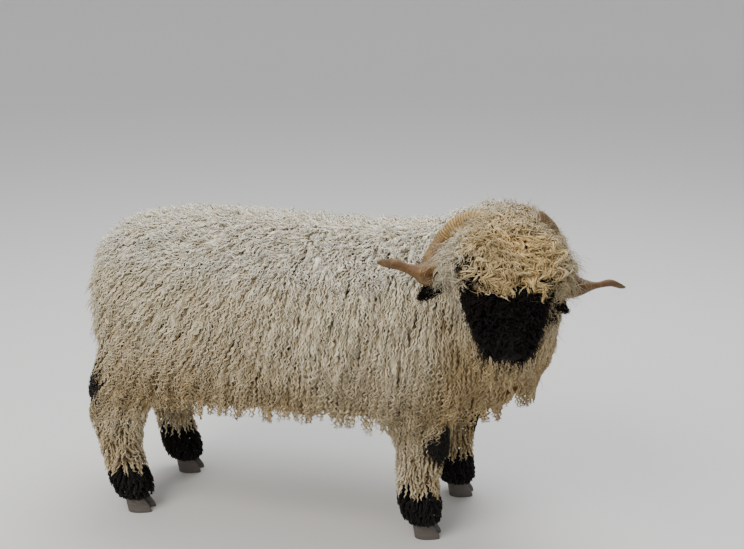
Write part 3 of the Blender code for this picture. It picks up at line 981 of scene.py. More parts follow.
def lock_paths(coat, places, normals, lie, rng, surface):
    """The waved path of each lock, from its root in the skin to its tip."""
    count, t = len(places), np.array(coat.stations)
    length = coat.length(places) if callable(coat.length) else coat.length
    length = length * rng.uniform(0.75, 1.25, count)
    deep = coat.deep * rng.uniform(0.7, 1.3, count)
    proud = coat.proud * (rng.uniform(-0.5, 1.6, count) if coat.proud > 0 else rng.uniform(0.8, 1.2, count))
    leads = thinned(places.tolist(), coat.staple)
    tree = lookup(places[leads])
    which = np.array([tree.find(place)[1] for place in places.tolist()])
    proud += coat.shag * (rng.random(len(leads)) ** 3)[which] * rng.uniform(0.5, 1.2, count)
    if coat.lift:
        proud += coat.lift(places) * rng.uniform(0.3, 1.2, count)
    path, facing = walk(coat, surface, places, normals, lie, length, deep, proud, rng.normal(0, coat.stray, count))

    # Neighbours draw together towards the middle of their staple
    lead, leading = path[leads][which], along_paths(path[leads])[which]
    draw = lead - path
    draw -= leading * (draw * leading).sum(2, keepdims=True)
    pull = coat.gather * rng.uniform(0.4, 1.2, count)[:, None] * ramp(t, 0.10, 1.0)[None]
    low = ramp(places[:, 2], 0.66, 0.40) if coat.falls else None
    pull = pull * (0.6 + 0.6 * low[:, None] if coat.falls else 1.0)
    path = path + draw * pull[..., None] * 0.75

    # Crimp in step with the staple, or curls that turn one way in each staple
    offset = ((places - places[leads][which]) * leading[:, 0]).sum(1)
    start = rng.uniform(0, 2 * np.pi, len(leads))[which] + rng.normal(0, coat.jitter, count)
    start = start + 2 * np.pi * offset / coat.crimp
    hand = np.where(rng.random(len(leads)) < 0.5, -1.0, 1.0)[which]
    period = coat.crimp * rng.uniform(0.85, 1.2, len(leads))[which]
    swing = coat.swing * rng.uniform(0.6, 1.35, len(leads))[which] * rng.uniform(0.8, 1.2, count)
    swing = swing * (0.75 + 0.65 * low if coat.falls else 1.0)
    phase = start[:, None] + 2 * np.pi * t[None] * (length / period)[:, None]
    grown = swing[:, None] * ramp(t, 0.05, 0.35)[None] * (1 + coat.hook * ramp(t, 0.6, 1.0))[None]
    side = unit(np.cross(facing, along_paths(path)))
    path = path + side * (grown * np.sin(phase))[..., None]
    path = path + facing * (grown * coat.curl * hand[:, None] * np.cos(phase))[..., None]

    # The root is the nearest skin, a little up the lie from where the lock surfaces
    behind = path[:, 0] - unit(path[:, 1] - path[:, 0]) * coat.back
    root, root_normal, triangle = BODY["skin"].nearest(behind)
    middle = path[:, 0] * 0.45 + root * 0.55 - unit(path[:, 1] - path[:, 0]) * coat.back * 0.15
    path = np.concatenate([(root - root_normal * ROOT_BURIED)[:, None], middle[:, None], path], 1)
    facing = np.concatenate([facing[:, :1], facing[:, :1], facing], 1)
    return path, facing, (root, triangle), rng.random(len(leads))[which]


def mesh_from(name, points, groups):
    """A mesh from an array of places and arrays of faces, in the order given."""
    mesh = bpy.data.meshes.new(name)
    mesh.vertices.add(len(points))
    set_numbers(mesh.vertices, "co", points)
    corners = np.concatenate([group.ravel() for group in groups])
    sizes = np.concatenate([np.full(len(group), group.shape[1]) for group in groups])
    mesh.loops.add(len(corners))
    set_numbers(mesh.loops, "vertex_index", corners, np.int32)
    mesh.polygons.add(len(sizes))
    set_numbers(mesh.polygons, "loop_start", np.cumsum(sizes) - sizes, np.int32)
    mesh.update(calc_edges=True)
    return mesh


def tubes(name, coat, path, facing, seat, clump, rng):
    """One mesh of closed three-sided tapering locks along the paths."""
    count, rows = path.shape[:2]
    t = np.concatenate([[0, 0], coat.stations])
    tangent = along_paths(path)
    side = unit(np.cross(facing, tangent))
    up = np.cross(tangent, side)
    profile = np.concatenate([[0.30, 0.70], 1 - ramp(t[2:], 1 - coat.taper, 1.05) * 0.94])
    half = coat.width * rng.uniform(0.7, 1.3, count)[:, None] * profile[None] * 0.575
    angles = np.radians([90.0, 210.0, 330.0])
    ring = side[:, :, None] * np.cos(angles)[:, None] * half[..., None, None]
    ring = ring + up[:, :, None] * (np.sin(angles) * coat.flat)[:, None] * half[..., None, None]
    points = (path[:, :, None] + ring).reshape(-1, 3)

    first = (np.arange(count) * rows * 3)[:, None]
    k = first[:, :, None] + (np.arange(rows - 1) * 3)[None, :, None]
    j, after = np.arange(3)[None, None], (np.arange(3) + 1) % 3
    quads = np.stack([k + j, k + after, k + 3 + after, k + 3 + j], -1).reshape(-1, 4)
    tips = first + (rows - 1) * 3 + np.array([0, 1, 2])
    mesh = mesh_from(name, points, [first + np.array([2, 1, 0]), quads, tips])

    # Each lock gets a small disc at its root's place on the skin's map, its tip in the middle, for its colours to be
    # baked into
    reach = MAP_DISC / 2 * (rows - np.arange(rows)) / rows
    disc = np.stack([np.cos(angles), np.sin(angles)], 1)
    spots = BODY["skin"].on_map(*seat)[:, None, None] + reach[None, :, None, None] * disc[None, None]
    corners = numbers(mesh.loops, "vertex_index", 1, int)[:, 0]
    set_numbers(mesh.uv_layers.new(name="OFBake").uv, "vector", spots.reshape(-1, 2)[corners])

    def per_lock(values):
        return np.repeat(values, rows * 3, axis=0)

    tone = 0.5 * rng.random(count) + 0.5 * clump
    middle = path[:, rows // 2]
    tint = wool_tint(middle, facing[:, rows // 2], rng)
    if coat.black is None:
        black = black_at(middle, coat.over_face) > rng.uniform(0.35, 0.65, count)
    else:
        black = np.full(count, coat.black)
    store(mesh, "coat", per_lock(tone), np.tile(np.repeat(t, 3), count), per_lock(black.astype(float)))
    store(mesh, "tint", per_lock(tint))
    around = np.tile(np.cos(angles), rows * count) + per_lock(tone) * FIBRE_SHIFTS[0]
    walked = np.tile(np.repeat(np.arange(rows) * FIBRE_STEP, 3), count)
    layer = mesh.attributes.new("fibre", "FLOAT_VECTOR", "POINT")
    set_numbers(layer.data, "vector", np.stack([around, walked, per_lock(tone) * FIBRE_SHIFTS[1]], 1))
    return new_object(name, mesh)


def horn_tree():
    """The horns' own surfaces, which locks are kept out of."""
    if "horns" not in BODY:
        shape = bmesh.new()
        for word, _ in SIDES:
            shape.from_mesh(bpy.data.objects[f"ridged_horn_{word}"].data)
        BODY["horns"] = BVHTree.FromBMesh(shape)
        shape.free()
    return BODY["horns"]


def clear_of_horns(path, give):
    """Moves what would run inside a horn to just outside it, and tells which locks that moves by less than give."""
    near = np.abs(head_place(path[:, -1])) < [0.33, 0.16, 0.18]
    whole = np.ones(len(path), bool)
    for i in np.flatnonzero(near.all(1)):
        for k in range(2, path.shape[1]):
            seat, normal, _, _ = horn_tree().find_nearest(Vector(path[i, k]), 0.03)
            if seat is not None and (Vector(path[i, k]) - seat).dot(normal) < HORN_ROOM:
                moved = np.array(seat + normal * HORN_ROOM)
                whole[i] &= np.linalg.norm(moved - path[i, k]) < give
                path[i, k] = moved
    return whole


def grow(name, material, lie, keep, **settings):
    """Seeds, walks, waves and builds one piece of the coat."""
    coat = Coat(**settings)
    sizes = 1.0
    surface = coat.surface or wool_form()
    coat.width *= sizes
    places, normals = seeds(keep, coat.spacing * sizes, coat.seed, surface)
    rng = np.random.default_rng(coat.seed + SHAPE_SEED)
    path, facing, seat, clump = lock_paths(coat, places, normals, lie, rng, surface)
    if coat.near_horns:
        whole = clear_of_horns(path, coat.give)
        path, facing, clump = path[whole], facing[whole], clump[whole]
        seat = tuple(values[whole] for values in seat)
    made = tubes(name, coat, path, facing, seat, clump, rng)
    dress(made, material, coat.slot)
    print(f"{name}: {len(path)} locks, {len(made.data.loops) - 2 * len(made.data.polygons)} triangles")


def wool_finish(name, rough=0.85, sheen=0.06, shade=1.06, strand=2.6, gloss=0.14):
    """Wool of the colour stored for each lock, darker at its root as painted shade, in tufts lighter and darker, with
    fine fibres whose dark lines are partly painted shade between strands.
    """
    colours = bpy.context.scene.sheep_colours
    finish = Finish(name)
    tone, along, black = finish.channels("coat")
    tint = finish.attribute("tint", "Color")
    fibre = finish.stretched(finish.attribute("fibre", "Vector"), (strand, 0.7, 1.0))
    fibre_grain_and_shade = finish.noise(fibre, 1.0)
    wool = finish.mix(1.0, tint, (shade, shade, shade), "MULTIPLY")
    wool = finish.mix(tone * 0.50, wool, (0.68, 0.64, 0.54), "MULTIPLY")
    # Darker towards the root: painted shade deep in the fleece
    wool = finish.mix(along.eased(0.55, 0.0), wool, (0.80, 0.74, 0.63), "MULTIPLY")
    # Fine fibre streaks whose dark lines are partly painted shade between strands
    wool = finish.mix(fibre_grain_and_shade.eased(0.57, 0.40) * 0.90, wool, (0.52, 0.46, 0.35), "MULTIPLY")
    dark = finish.mix(along.eased(0.5, 1.0) * tone * tone, colours.black, colours.rust)
    finish.bump(fibre_grain_and_shade, 1.0, 0.0020)
    return finish.surface(
        Base_Color=finish.mix(black, wool, dark), Roughness=rough, Sheen_Weight=sheen, Sheen_Roughness=0.6,
        Specular_IOR_Level=gloss,
    )


# Which way the wool lies


def ruffled(points, length, seed):
    """A soft random direction that changes over this length."""
    return np.stack([waves(points, length, seed + i) for i in range(3)], 1)


def lie_of_fleece(points, normals):
    """Down the sides, leaning back over the rump, and parted along the spine."""
    x, y, _ = drawn(points).T
    none, whole = np.zeros(len(x)), np.ones(len(x))
    rump = ramp(x, 0.05, -0.45)
    down = np.stack([-0.06 - 0.75 * rump, none, -whole], 1)
    top = ramp(normals[:, 2], 0.45, 0.92)[:, None]
    over = np.stack([-0.30 - 0.6 * rump, np.clip(y / 0.10, -1, 1) * 0.8, -0.2 * whole], 1)
    under = ramp(normals[:, 2], -0.55, -0.92)[:, None]
    inward = np.stack([-0.5 * whole, -np.clip(y / 0.05, -1, 1), none], 1)
    way = unit(down) * (1 - top) * (1 - under) + unit(over) * top + inward * under
    return way + ruffled(points, 0.090, 21) * (0.10 + 0.28 * top) + ruffled(points, 0.030, 24) * (0.05 + 0.22 * top)


def sideness(points, width):
    """From -1 on the head's right to 1 on its left, in proportion up to this distance from its middle."""
    return np.clip(head_place(points)[:, :1] / width, -1, 1)


def hand_of(points):
    return np.sign(head_place(points)[:, :1])


def lie_of_head(points, normals):
    """From the poll forward over the brow, outward to the sides and down the cheeks."""
    forward = FORWARD + TO_LEFT * (sideness(points, 0.08) * 0.9)
    down = DOWN + FORWARD * 0.25 + TO_LEFT * (hand_of(points) * 0.25)
    cheek = ramp(head_place(points)[:, 2:], 0.02, -0.04)
    return forward * (1 - cheek) + down * cheek + ruffled(points, 0.05, 31) * 0.42


def lie_of_nape(points, normals):
    """Back and up from the poll, and out to the sides."""
    return FORWARD * -0.3 + DOWN * 0.15 + TO_LEFT * sideness(points, 0.06) + ruffled(points, 0.04, 35) * 0.8


def lie_of_side(points, normals):
    """Outward and down over the fold of the horn."""
    return TO_LEFT * hand_of(points) + DOWN * 0.6 + ruffled(points, 0.03, 37) * 0.5


def lie_of_face(points, normals):
    way = FORWARD * 0.6 + DOWN * 0.8 + TO_LEFT * (sideness(points, 0.06) * 0.6)
    return way + ruffled(points, 0.03, 41) * 0.6


def lie_of_ear(points, normals):
    return TO_LEFT * hand_of(points) * 0.7 + FORWARD * 0.2 + DOWN * 0.9 + ruffled(points, 0.02, 45) * 0.4


def lie_of_leg(points, normals):
    return DOWN + ruffled(points, 0.05, 51) * 0.25


# Where each kind of wool grows


def is_head(points):
    """Head wool rather than neck wool."""
    return (head_place(points) @ np.array([0.0, 0.72, 0.70])) > -0.062


def is_face(points):
    return is_head(points) & (black_at(points) > 0.5) & (head_place(points)[:, 1] > 0.05)


def is_crown(points):
    """The golden curls over the brow."""
    aside, ahead, above = head_place(points).T
    return is_head(points) & ~is_face(points) & (np.abs(aside) < 0.092) & (above > 0.0) & (ahead > -0.060)


def is_leg(points):
    return drawn(points)[:, 2] < 0.305


def is_tail(points):
    x, y, z = drawn(points).T
    return (x < -0.575) & (np.abs(y) < 0.055) & (z < 0.72)


def is_body(points):
    return ~is_head(points) & ~is_leg(points) & ~is_tail(points)


def bare_muzzle(points):
    """The tip of the nose and the lips, which carry only short flat hair."""
    aside, ahead, _ = head_place(points).T
    return (ahead > 0.243) & (np.abs(aside) < 0.040)


def over_coil(points):
    """How far cheek wool stands out where it hides the fold of a horn."""
    aside, ahead, above = head_place(points).T
    gap = np.linalg.norm(np.stack([np.abs(aside) - 0.112, ahead - 0.015, above + 0.010], 1) / [1, 1.4, 1], axis=1)
    return 0.030 * ramp(gap, 0.040, 0.015)


def above_fold(points):
    """Where the wool grows that hangs over the fold of each horn."""
    aside, ahead, above = head_place(points).T
    beside = (np.abs(aside) > 0.078) & (above > -0.025) & (above < 0.045)
    return is_head(points) & beside & (ahead > -0.035) & (ahead < 0.055)


def near_horns(points, gap):
    return np.array([horn_tree().find_nearest(Vector(point), gap)[0] is not None for point in points], bool)


def ragged_rump(points):
    """How far tufts of the rump and the far back stand out, here and there."""
    tufts = np.clip(waves(points, 0.055, 71), 0, 1) * ramp(points[:, 2], 0.45, 0.60)
    return tufts * (0.004 + 0.014 * ramp(drawn(points)[:, 0], -0.30, -0.52))


def near_eye(points):
    near = np.zeros(len(points), bool)
    for _, side in SIDES:
        centre = on_head(EYE_ASIDE + 0.020, EYE_AHEAD + 0.002, EYE_ABOVE + 0.002, side)
        near |= np.linalg.norm(points - np.array(centre), axis=1) < EYE_GAP
    return near


# Operators


class SHEEP_OT_skin(bpy.types.Operator):
    """Make the bare skin that replaces the solids of flesh"""

    bl_idname = "sheep.skin"
    bl_label = "Skin"

    def execute(self, context):
        dress(make_skin(), skin_finish(), "fleece", *FLESH_NODES)
        return {"FINISHED"}


class SHEEP_OT_underwool(bpy.types.Operator):
    """Grow the broad dense tufts under the outer locks"""

    bl_idname = "sheep.underwool"
    bl_label = "Underwool"

    def execute(self, context):
        # The underwool's colour is scaled darker than the outer locks': painted shade inside the fleece
        material = wool_finish("underwool", 0.95, 0.05, 0.98, 6.0)
        common = dict(
            stations=(0, 0.5, 1.0), flat=0.34, taper=0.7, crimp=0.03, hook=0.0, gather=0.0, staple=0.05,
            near_horns=True, give=0.002, lift=lambda p: -0.005 * ramp(drawn(p)[:, 2], 0.66, 0.76) * ~is_head(p),
        )
        for name, seed, spacing, width, deep, proud, length in (
            ("inner_wool", 72, 0.0330, 0.060, 0.032, -0.0200, 0.080),
            ("underwool", 70, 0.0168, 0.025, 0.019, -0.0100, 0.042),
        ):
            grow(
                name, material, lie_of_fleece, lambda p, n: ~is_leg(p) & ~is_head(p) & ~near_horns(p, width),
                seed=seed, spacing=spacing, width=width, deep=deep, proud=proud, length=length, back=0.02, **common,
            )

        def pale(p, n):
            ends = p + unit(lie_of_head(p, n)) * 0.018
            return is_head(p) & ~near_horns(p, 0.012) & (black_at(p) < 0.2) & (black_at(ends) < 0.2)

        grow(
            "head_underwool", material, lie_of_head, pale, seed=71, spacing=0.0110, width=0.016, deep=0.015,
            proud=-0.0095, length=0.024, back=0.008, **common,
        )
        return {"FINISHED"}


class SHEEP_OT_fleece(bpy.types.Operator):
    """Grow the long crimped locks of the flanks, rump, neck, chest and belly"""

    bl_idname = "sheep.fleece"
    bl_label = "Fleece"

    def execute(self, context):
        sizes = context.scene.sheep_sizes
        material = wool_finish("fleece")
        common = dict(crimp=sizes.crimp, swing=sizes.swing, shag=0.003, gather=0.36, lift=ragged_rump)

        def long_lock(p):
            return sizes.length * (0.85 + 0.35 * ramp(drawn(p)[:, 2], 0.70, 0.45))

        seed = 81
        for side, sparse in (("right", 1.0), ("left", 1.21)):
            for zone, start, end in (("rear", -1, -0.22), ("middle", -0.22, 0.12), ("fore", 0.12, 1)):

                def keep(p, n):
                    x, y, _ = drawn(p).T
                    here = (x >= start) & (x < end) & ((y < 0) == (side == "right"))
                    return is_body(p) & (n[:, 2] <= 0.76) & (n[:, 2] >= -0.55) & here

                grow(
                    f"fleece_flank_{side}_{zone}", material, lie_of_fleece, keep, seed=seed, length=long_lock,
                    near_horns=zone == "fore", spacing=sizes.spacing * sparse, width=sizes.width, falls=True,
                    stations=LONG_STATIONS, **common,
                )
                seed += 1
        for side, seed, sparse in (("right", 90, 0.96), ("left", 93, 1.09)):
            grow(
                f"fleece_back_{side}", material, lie_of_fleece,
                lambda p, n: is_body(p) & (n[:, 2] > 0.62) & ((drawn(p)[:, 1] < 0) == (side == "right")),
                seed=seed, length=0.052, stray=0.40, staple=0.018, near_horns=True, curl=1.0, jitter=0.9, deep=0.011,
                taper=0.6, gather=0.22, proud=0.004, spacing=sizes.spacing * sparse, width=0.0045, crimp=0.0155,
                swing=0.0027, shag=0.007, lift=ragged_rump, stations=even(12, 0.9),
            )
        grow(
            "fleece_belly", material, lie_of_fleece, lambda p, n: is_body(p) & (n[:, 2] < -0.55), seed=91,
            length=0.040, stray=0.3, width=0.014, spacing=0.022, proud=0.004, stations=(0, 0.2, 0.4, 0.6, 0.8, 1.0),
            **common,
        )
        grow(
            "tail_wool", material, lie_of_fleece, lambda p, n: is_tail(p) & ~is_leg(p), seed=92, length=0.050,
            spacing=sizes.spacing, width=sizes.width, falls=True, stations=even(9), **common,
        )
        return {"FINISHED"}


class SHEEP_OT_wisps(bpy.types.Operator):
    """Grow the thin stray strands that soften the outline"""

    bl_idname = "sheep.wisps"
    bl_label = "Wisps"

    def execute(self, context):
        grow(
            "wisps", wool_finish("wisps", 0.8, 0.1, 1.2), lie_of_fleece,
            lambda p, n: is_body(p) & (n[:, 2] > -0.3) & (black_at(p) < 0.3),
            seed=95, spacing=0.0290, width=0.0023, stations=(0, 0.2, 0.36, 0.52, 0.68, 0.84, 1.0), deep=0.006,
            proud=0.012, length=0.048, stray=0.9, gather=0.25, crimp=0.024, swing=0.0040, curl=0.9, jitter=2.0,
            taper=0.9, flat=0.9, back=0.02, near_horns=True, shag=0.016,
        )
        return {"FINISHED"}


class SHEEP_OT_head_wool(bpy.types.Operator):
    """Grow the curls of the forehead, the wool of the cheeks, and the black curls of the face and ears"""

    bl_idname = "sheep.head_wool"
    bl_label = "Head Wool"

    def execute(self, context):
        wool = wool_finish("head_wool", gloss=0.1)
        black = wool_finish("black_wool", 0.80, 0.0)
        curly = dict(curl=0.9, near_horns=True)

        def cheeks(p):
            return is_head(p) & ~is_face(p) & ~is_crown(p) & ~near_eye(p)

        grow(
            "topknot_curls", wool, lie_of_head, lambda p, n: is_crown(p) & ~near_eye(p),
            seed=101, stations=even(16, 0.85), spacing=0.0061, width=0.0046,
            length=lambda p: np.clip(0.032 + (0.112 - head_place(p)[:, 1]) * 0.60, 0.030, 0.082),
            crimp=0.030, swing=0.0068, hook=0.7, curl=0.7, deep=0.015, proud=0.007, back=0.012, stray=0.24,
            staple=0.027, gather=0.86, taper=0.6, near_horns=True, jitter=0.25, shag=0.016, over_face=True,
            slot="topknot_wool",
        )
        grow(
            "cheek_wool", wool, lie_of_head, lambda p, n: cheeks(p) & (head_place(p)[:, 2] < 0.02),
            seed=102, stations=even(11), spacing=0.0076, width=0.0038, length=0.046, crimp=0.018, swing=0.0034,
            hook=0.6, curl=0.8, deep=0.014, proud=0.008, back=0.012, stray=0.45, staple=0.02, taper=0.7, shag=0.008,
            lift=over_coil, near_horns=True,
        )
        grow(
            "nape_wool", wool, lie_of_nape,
            lambda p, n: cheeks(p) & (head_place(p)[:, 2] >= 0.02) | is_crown(p) & (head_place(p)[:, 1] < -0.020),
            seed=105, stations=even(9), spacing=0.0060, width=0.0030, length=0.052, crimp=0.020, swing=0.0038,
            hook=0.5, deep=0.012, proud=0.012, back=0.010, stray=0.6, staple=0.018, taper=0.8, jitter=1.2,
            shag=0.020, **curly,
        )
        grow(
            "crown_tufts", wool, lie_of_nape,
            lambda p, n: is_head(p) & (head_place(p)[:, 2] > 0.0) & (head_place(p)[:, 1] < 0.060) & ~near_eye(p),
            seed=107, stations=even(12), spacing=0.0100, width=0.0030, length=0.054, crimp=0.022, swing=0.0048,
            hook=0.5, deep=0.006, proud=0.016, back=0.010, stray=0.7, staple=0.026, gather=0.8, taper=0.9,
            shag=0.020, **curly,
        )
        grow(
            "horn_wisps", wool, lie_of_side, lambda p, n: above_fold(p) & ~near_eye(p),
            seed=108, stations=even(11), spacing=0.0052, width=0.0032, length=0.072, crimp=0.022, swing=0.0044,
            hook=0.5, deep=0.006, proud=0.030, back=0.010, stray=0.35, staple=0.020, gather=0.7, taper=0.85,
            give=0.030, shag=0.012, over_face=True, lift=lambda p: 0.014 * (head_place(p)[:, 0] > 0), **curly,
        )
        grow(
            "chin_strands", black, lie_of_face,
            lambda p, n: is_face(p) & (n[:, 2] < -0.2) & (head_place(p)[:, 1] < 0.235),
            seed=106, stations=even(9), spacing=0.0095, width=0.0028,
            length=lambda p: 0.030 + 0.026 * np.abs(waves(p, 0.03, 61)) ** 2, crimp=0.016, swing=0.0034, curl=0.9,
            deep=0.008, black=1.0, back=0.004, staple=0.020, gather=0.85, taper=0.8, stray=0.35, falls=True,
            slot="black_wool",
        )
        grow(
            "face_curls", black, lie_of_face, lambda p, n: is_face(p) & ~near_eye(p) & ~bare_muzzle(p),
            seed=103, stations=even(9), spacing=0.0064, width=0.0042,
            length=lambda p: 0.021 + 0.018 * ramp(head_place(p)[:, 1], 0.18, 0.11), crimp=0.016, swing=0.0034,
            hook=0.8, deep=0.010, proud=0.003, black=1.0, back=0.006, stray=0.5, staple=0.014, gather=0.6,
            taper=0.7, shag=0.008, slot="black_wool", **curly,
        )
        grow(
            "ear_curls", black, lie_of_ear, lambda p, n: np.abs(head_place(p)[:, 0]) > 0.082,
            seed=104, stations=even(9), spacing=0.0056, width=0.0028,
            length=lambda p: 0.030 + 0.030 * np.abs(waves(p, 0.02, 62)) ** 3, crimp=0.015, swing=0.0034,
            hook=0.9, deep=0.005, proud=0.005, black=1.0, back=0.004, stray=0.6, staple=0.012, taper=0.8,
            shag=0.014, surface=form_of(["ear_left", "ear_right"], False), slot="black_wool", **curly,
        )
        return {"FINISHED"}


class SHEEP_OT_leg_wool(bpy.types.Operator):
    """Grow the shorter wool of the legs and feet"""

    bl_idname = "sheep.leg_wool"
    bl_label = "Leg Wool"

    def execute(self, context):
        wool = wool_finish("leg_wool", sheen=0.05, gloss=0.1)
        common = dict(hook=0.5, curl=0.6)
        grow(
            "leg_wool", wool, lie_of_leg, lambda p, n: is_leg(p) & (p[:, 2] > 0.115) & (n[:, 2] > -0.8),
            seed=111, stations=even(8), spacing=0.0120, width=0.0068, crimp=0.013, swing=0.0024, shag=0.005,
            length=lambda p: 0.034 + 0.014 * ramp(p[:, 2], 0.18, 0.3), deep=0.009, back=0.012, stray=0.22,
            staple=0.02, **common,
        )
        grow(
            "foot_wool", wool, lie_of_leg,
            lambda p, n: is_leg(p) & (p[:, 2] <= 0.115) & (p[:, 2] > 0.046) & (n[:, 2] > -0.7),
            seed=112, stations=even(6), spacing=0.0096, width=0.0084, crimp=0.012, swing=0.0017, length=0.022,
            deep=0.007, proud=0.001, back=0.006, stray=0.25, staple=0.014, slot="black_wool", **common,
        )
        return {"FINISHED"}


class SHEEP_OT_horns(bpy.types.Operator):
    """Make both ridged spiral horns"""

    bl_idname = "sheep.horns"
    bl_label = "Horns"

    def execute(self, context):
        material = horn_finish()
        for word, side in SIDES:
            dress(ridged_horn(f"ridged_horn_{word}", side), material, "horn", f"horn_{word}")
        return {"FINISHED"}


def ridged_horn(name, side, sides=28, steps=26):
    """A horn with growth rings and a flattened section, along the solid's own path."""
    rows = np.array(smooth_stations(HORN, steps))
    at = rows[:, 0]
    if side > 0:  # the left one has a slimmer tip that droops, and a higher arc
        slim = 1 - 0.32 * ramp(at, 0.165, 0.205)
        droop = 0.012 * ramp(at, 0.225, 0.265)
        raised = 0.020 * ramp(at, 0.035, 0.065) * ramp(at, 0.130, 0.105)
        rows[:, 3:5] *= slim[:, None]
        rows[:, 2] -= droop
        rows[:, 2] += raised
    centres = [on_head(*row[:3], side) for row in rows]
    facing = on_head(*HORN_FACING) - POLL
    walked = np.concatenate([[0], np.cumsum([(b - a).length for a, b in zip(centres, centres[1:])])])
    total = walked[-1]

    def build(shape):
        rings = []
        for i, row in enumerate(rows):
            along = along_at(centres, i)
            across = along.cross(facing).normalized()
            outward = across.cross(along).normalized()
            rank = walked[i] / HORN_RIDGE_SPACING + 0.45 * math.sin(walked[i] * 70) + 0.30 * math.sin(walked[i] * 173)
            fade = float(ramp(walked[i] / total, 0.62, 0.38)) * 0.85 + 0.15
            points = []
            for k in range(sides):
                angle = 2 * math.pi * k / sides
                c, s = math.cos(angle), math.sin(angle)
                turn = rank + 0.22 * math.sin(angle + walked[i] * 25) + 0.12 * math.sin(3 * angle - walked[i] * 90)
                ridge = (0.5 + 0.5 * math.cos(2 * math.pi * turn)) ** 2 - 0.35
                wobble = 1 + fade * 0.060 * ridge * (0.6 + 0.4 * math.sin(2.0 * angle + rank * 0.9))
                wobble += 0.018 * math.sin(3 * angle + walked[i] * 60) + 0.014 * math.sin(5 * angle - walked[i] * 130)
                flute = 1 - 0.05 * fade * max(0.0, s) ** 2
                broad = row[3] * wobble * math.copysign(abs(c) ** 0.92, c)
                thin = row[4] * wobble * flute * math.copysign(abs(s) ** 0.92, s)
                points.append(centres[i] + across * broad + outward * thin)
            rings.append(points)
        add_loft(shape, rings)

    made = object_from(name, build)
    ring = np.repeat(walked, sides)
    # The third channel marks the left horn, which its finish paints darker as shade
    store(made.data, "coat", ring * 10, np.repeat(walked / total, sides), np.full(len(ring), float(side > 0)))
    return made


def horn_finish():
    looks = bpy.context.scene.sheep_horns
    finish = Finish("horn")
    walked, along, left_horn_painted_shade = finish.channels("coat")
    blotch = finish.noise(finish.here(), 38.0, 5.0, 0.4)
    flakes = finish.noise(finish.here(), 190.0, 4.0, 0.8)
    ring_noise = finish.noise(finish.here(), 26.0)
    turn = 2 * math.pi / (HORN_RIDGE_SPACING * 10)
    rings = (walked * turn + ring_noise * 9.0).math("SINE")
    fine = (walked * 430.0 + ring_noise * 22.0).math("SINE")
    young = along.eased(0.52, 0.34)
    base = finish.mix(young, looks.amber, looks.bone)
    base = finish.mix(blotch.eased(0.42, 0.70) * 0.6, base, finish.mix(young, looks.bone, looks.amber))
    for stain_and_shade in (
        flakes.eased(0.50, 0.68) * 0.45,
        rings.eased(0.1, -1.0) * (young * 0.45 + 0.20),
        along.eased(0.85, 1.0) * 0.45,
        # Painted shade: the left horn is drawn darker all over, most on its young part
        left_horn_painted_shade * (young * 0.40 + 0.18),
    ):
        base = finish.mix(stain_and_shade, base, looks.dark)
    finish.bump(rings * (young * 0.5 + 0.1) + fine * 0.15 + blotch + flakes * 0.8, 0.8, 0.0011)
    return finish.surface(Base_Color=base, Roughness=blotch * 0.25 + 0.36)


class SHEEP_OT_eyes(bpy.types.Operator):
    """Make both eyes, with their level pupils"""

    bl_idname = "sheep.eyes"
    bl_label = "Eyes"

    def execute(self, context):
        finish = Finish("eye")
        _, pupil, iris = finish.channels("coat")
        fibres = finish.noise(finish.here(), 700.0)
        amber = finish.mix(fibres, (0.07, 0.035, 0.012), (0.15, 0.085, 0.030))
        white = finish.mix(fibres, (0.04, 0.025, 0.02), (0.12, 0.085, 0.07))
        colour = finish.mix(iris.eased(0.35, 0.65), white, amber)
        colour = finish.mix(pupil.eased(0.35, 0.65), colour, (0.004, 0.004, 0.006))
        material = finish.surface(Base_Color=colour, Roughness=0.06, Coat_Weight=0.6)
        for word, side in SIDES:
            dress(eyeball(f"glass_eye_{word}", f"eye_{word}", side), material, "eye", f"eye_{word}")
        return {"FINISHED"}


def add_ball(shape, radius, around=48, down=32):
    """A sphere whose points and faces come in the same order on every run."""
    rings = []
    for k in range(1, down):
        reach, height = radius * math.sin(math.pi * k / down), radius * math.cos(math.pi * k / down)
        angles = [2 * math.pi * j / around for j in range(around)]
        rings.append([shape.verts.new((reach * math.cos(a), reach * math.sin(a), height)) for a in angles])
    top, bottom = shape.verts.new((0, 0, radius)), shape.verts.new((0, 0, -radius))
    for j in range(around):
        after = (j + 1) % around
        shape.faces.new((top, rings[0][j], rings[0][after]))
        for upper, lower in zip(rings, rings[1:]):
            shape.faces.new((upper[j], lower[j], lower[after], upper[after]))
        shape.faces.new((bottom, rings[-1][after], rings[-1][j]))


def eyeball(name, node, side):
    """An eyeball with a low cornea. Its iris and pupil are stored as masks."""
    gaze = (LEFT * side * 0.88 + AHEAD * 0.40 + UP * 0.20).normalized()
    level = (AHEAD - gaze * AHEAD.dot(gaze)).normalized()
    upward = gaze.cross(level)
    made = object_from(name, lambda shape: add_ball(shape, EYE_RADIUS))
    way = unit(numbers(made.data.vertices, "co", 3))
    front, across, rise = (way @ np.array(axis) for axis in (gaze, level, upward))
    iris = ramp(front, 0.64, 0.72)
    pupil = ramp(np.hypot(across / 0.46, rise / 0.17), 1.10, 0.90) * (front > 0)
    points = way * EYE_RADIUS * (1 + 0.06 * ramp(front, 0.62, 0.95))[:, None] + np.array(middle_of(node))
    set_numbers(made.data.vertices, "co", points)
    store(made.data, "coat", front, pupil, iris)
    return made


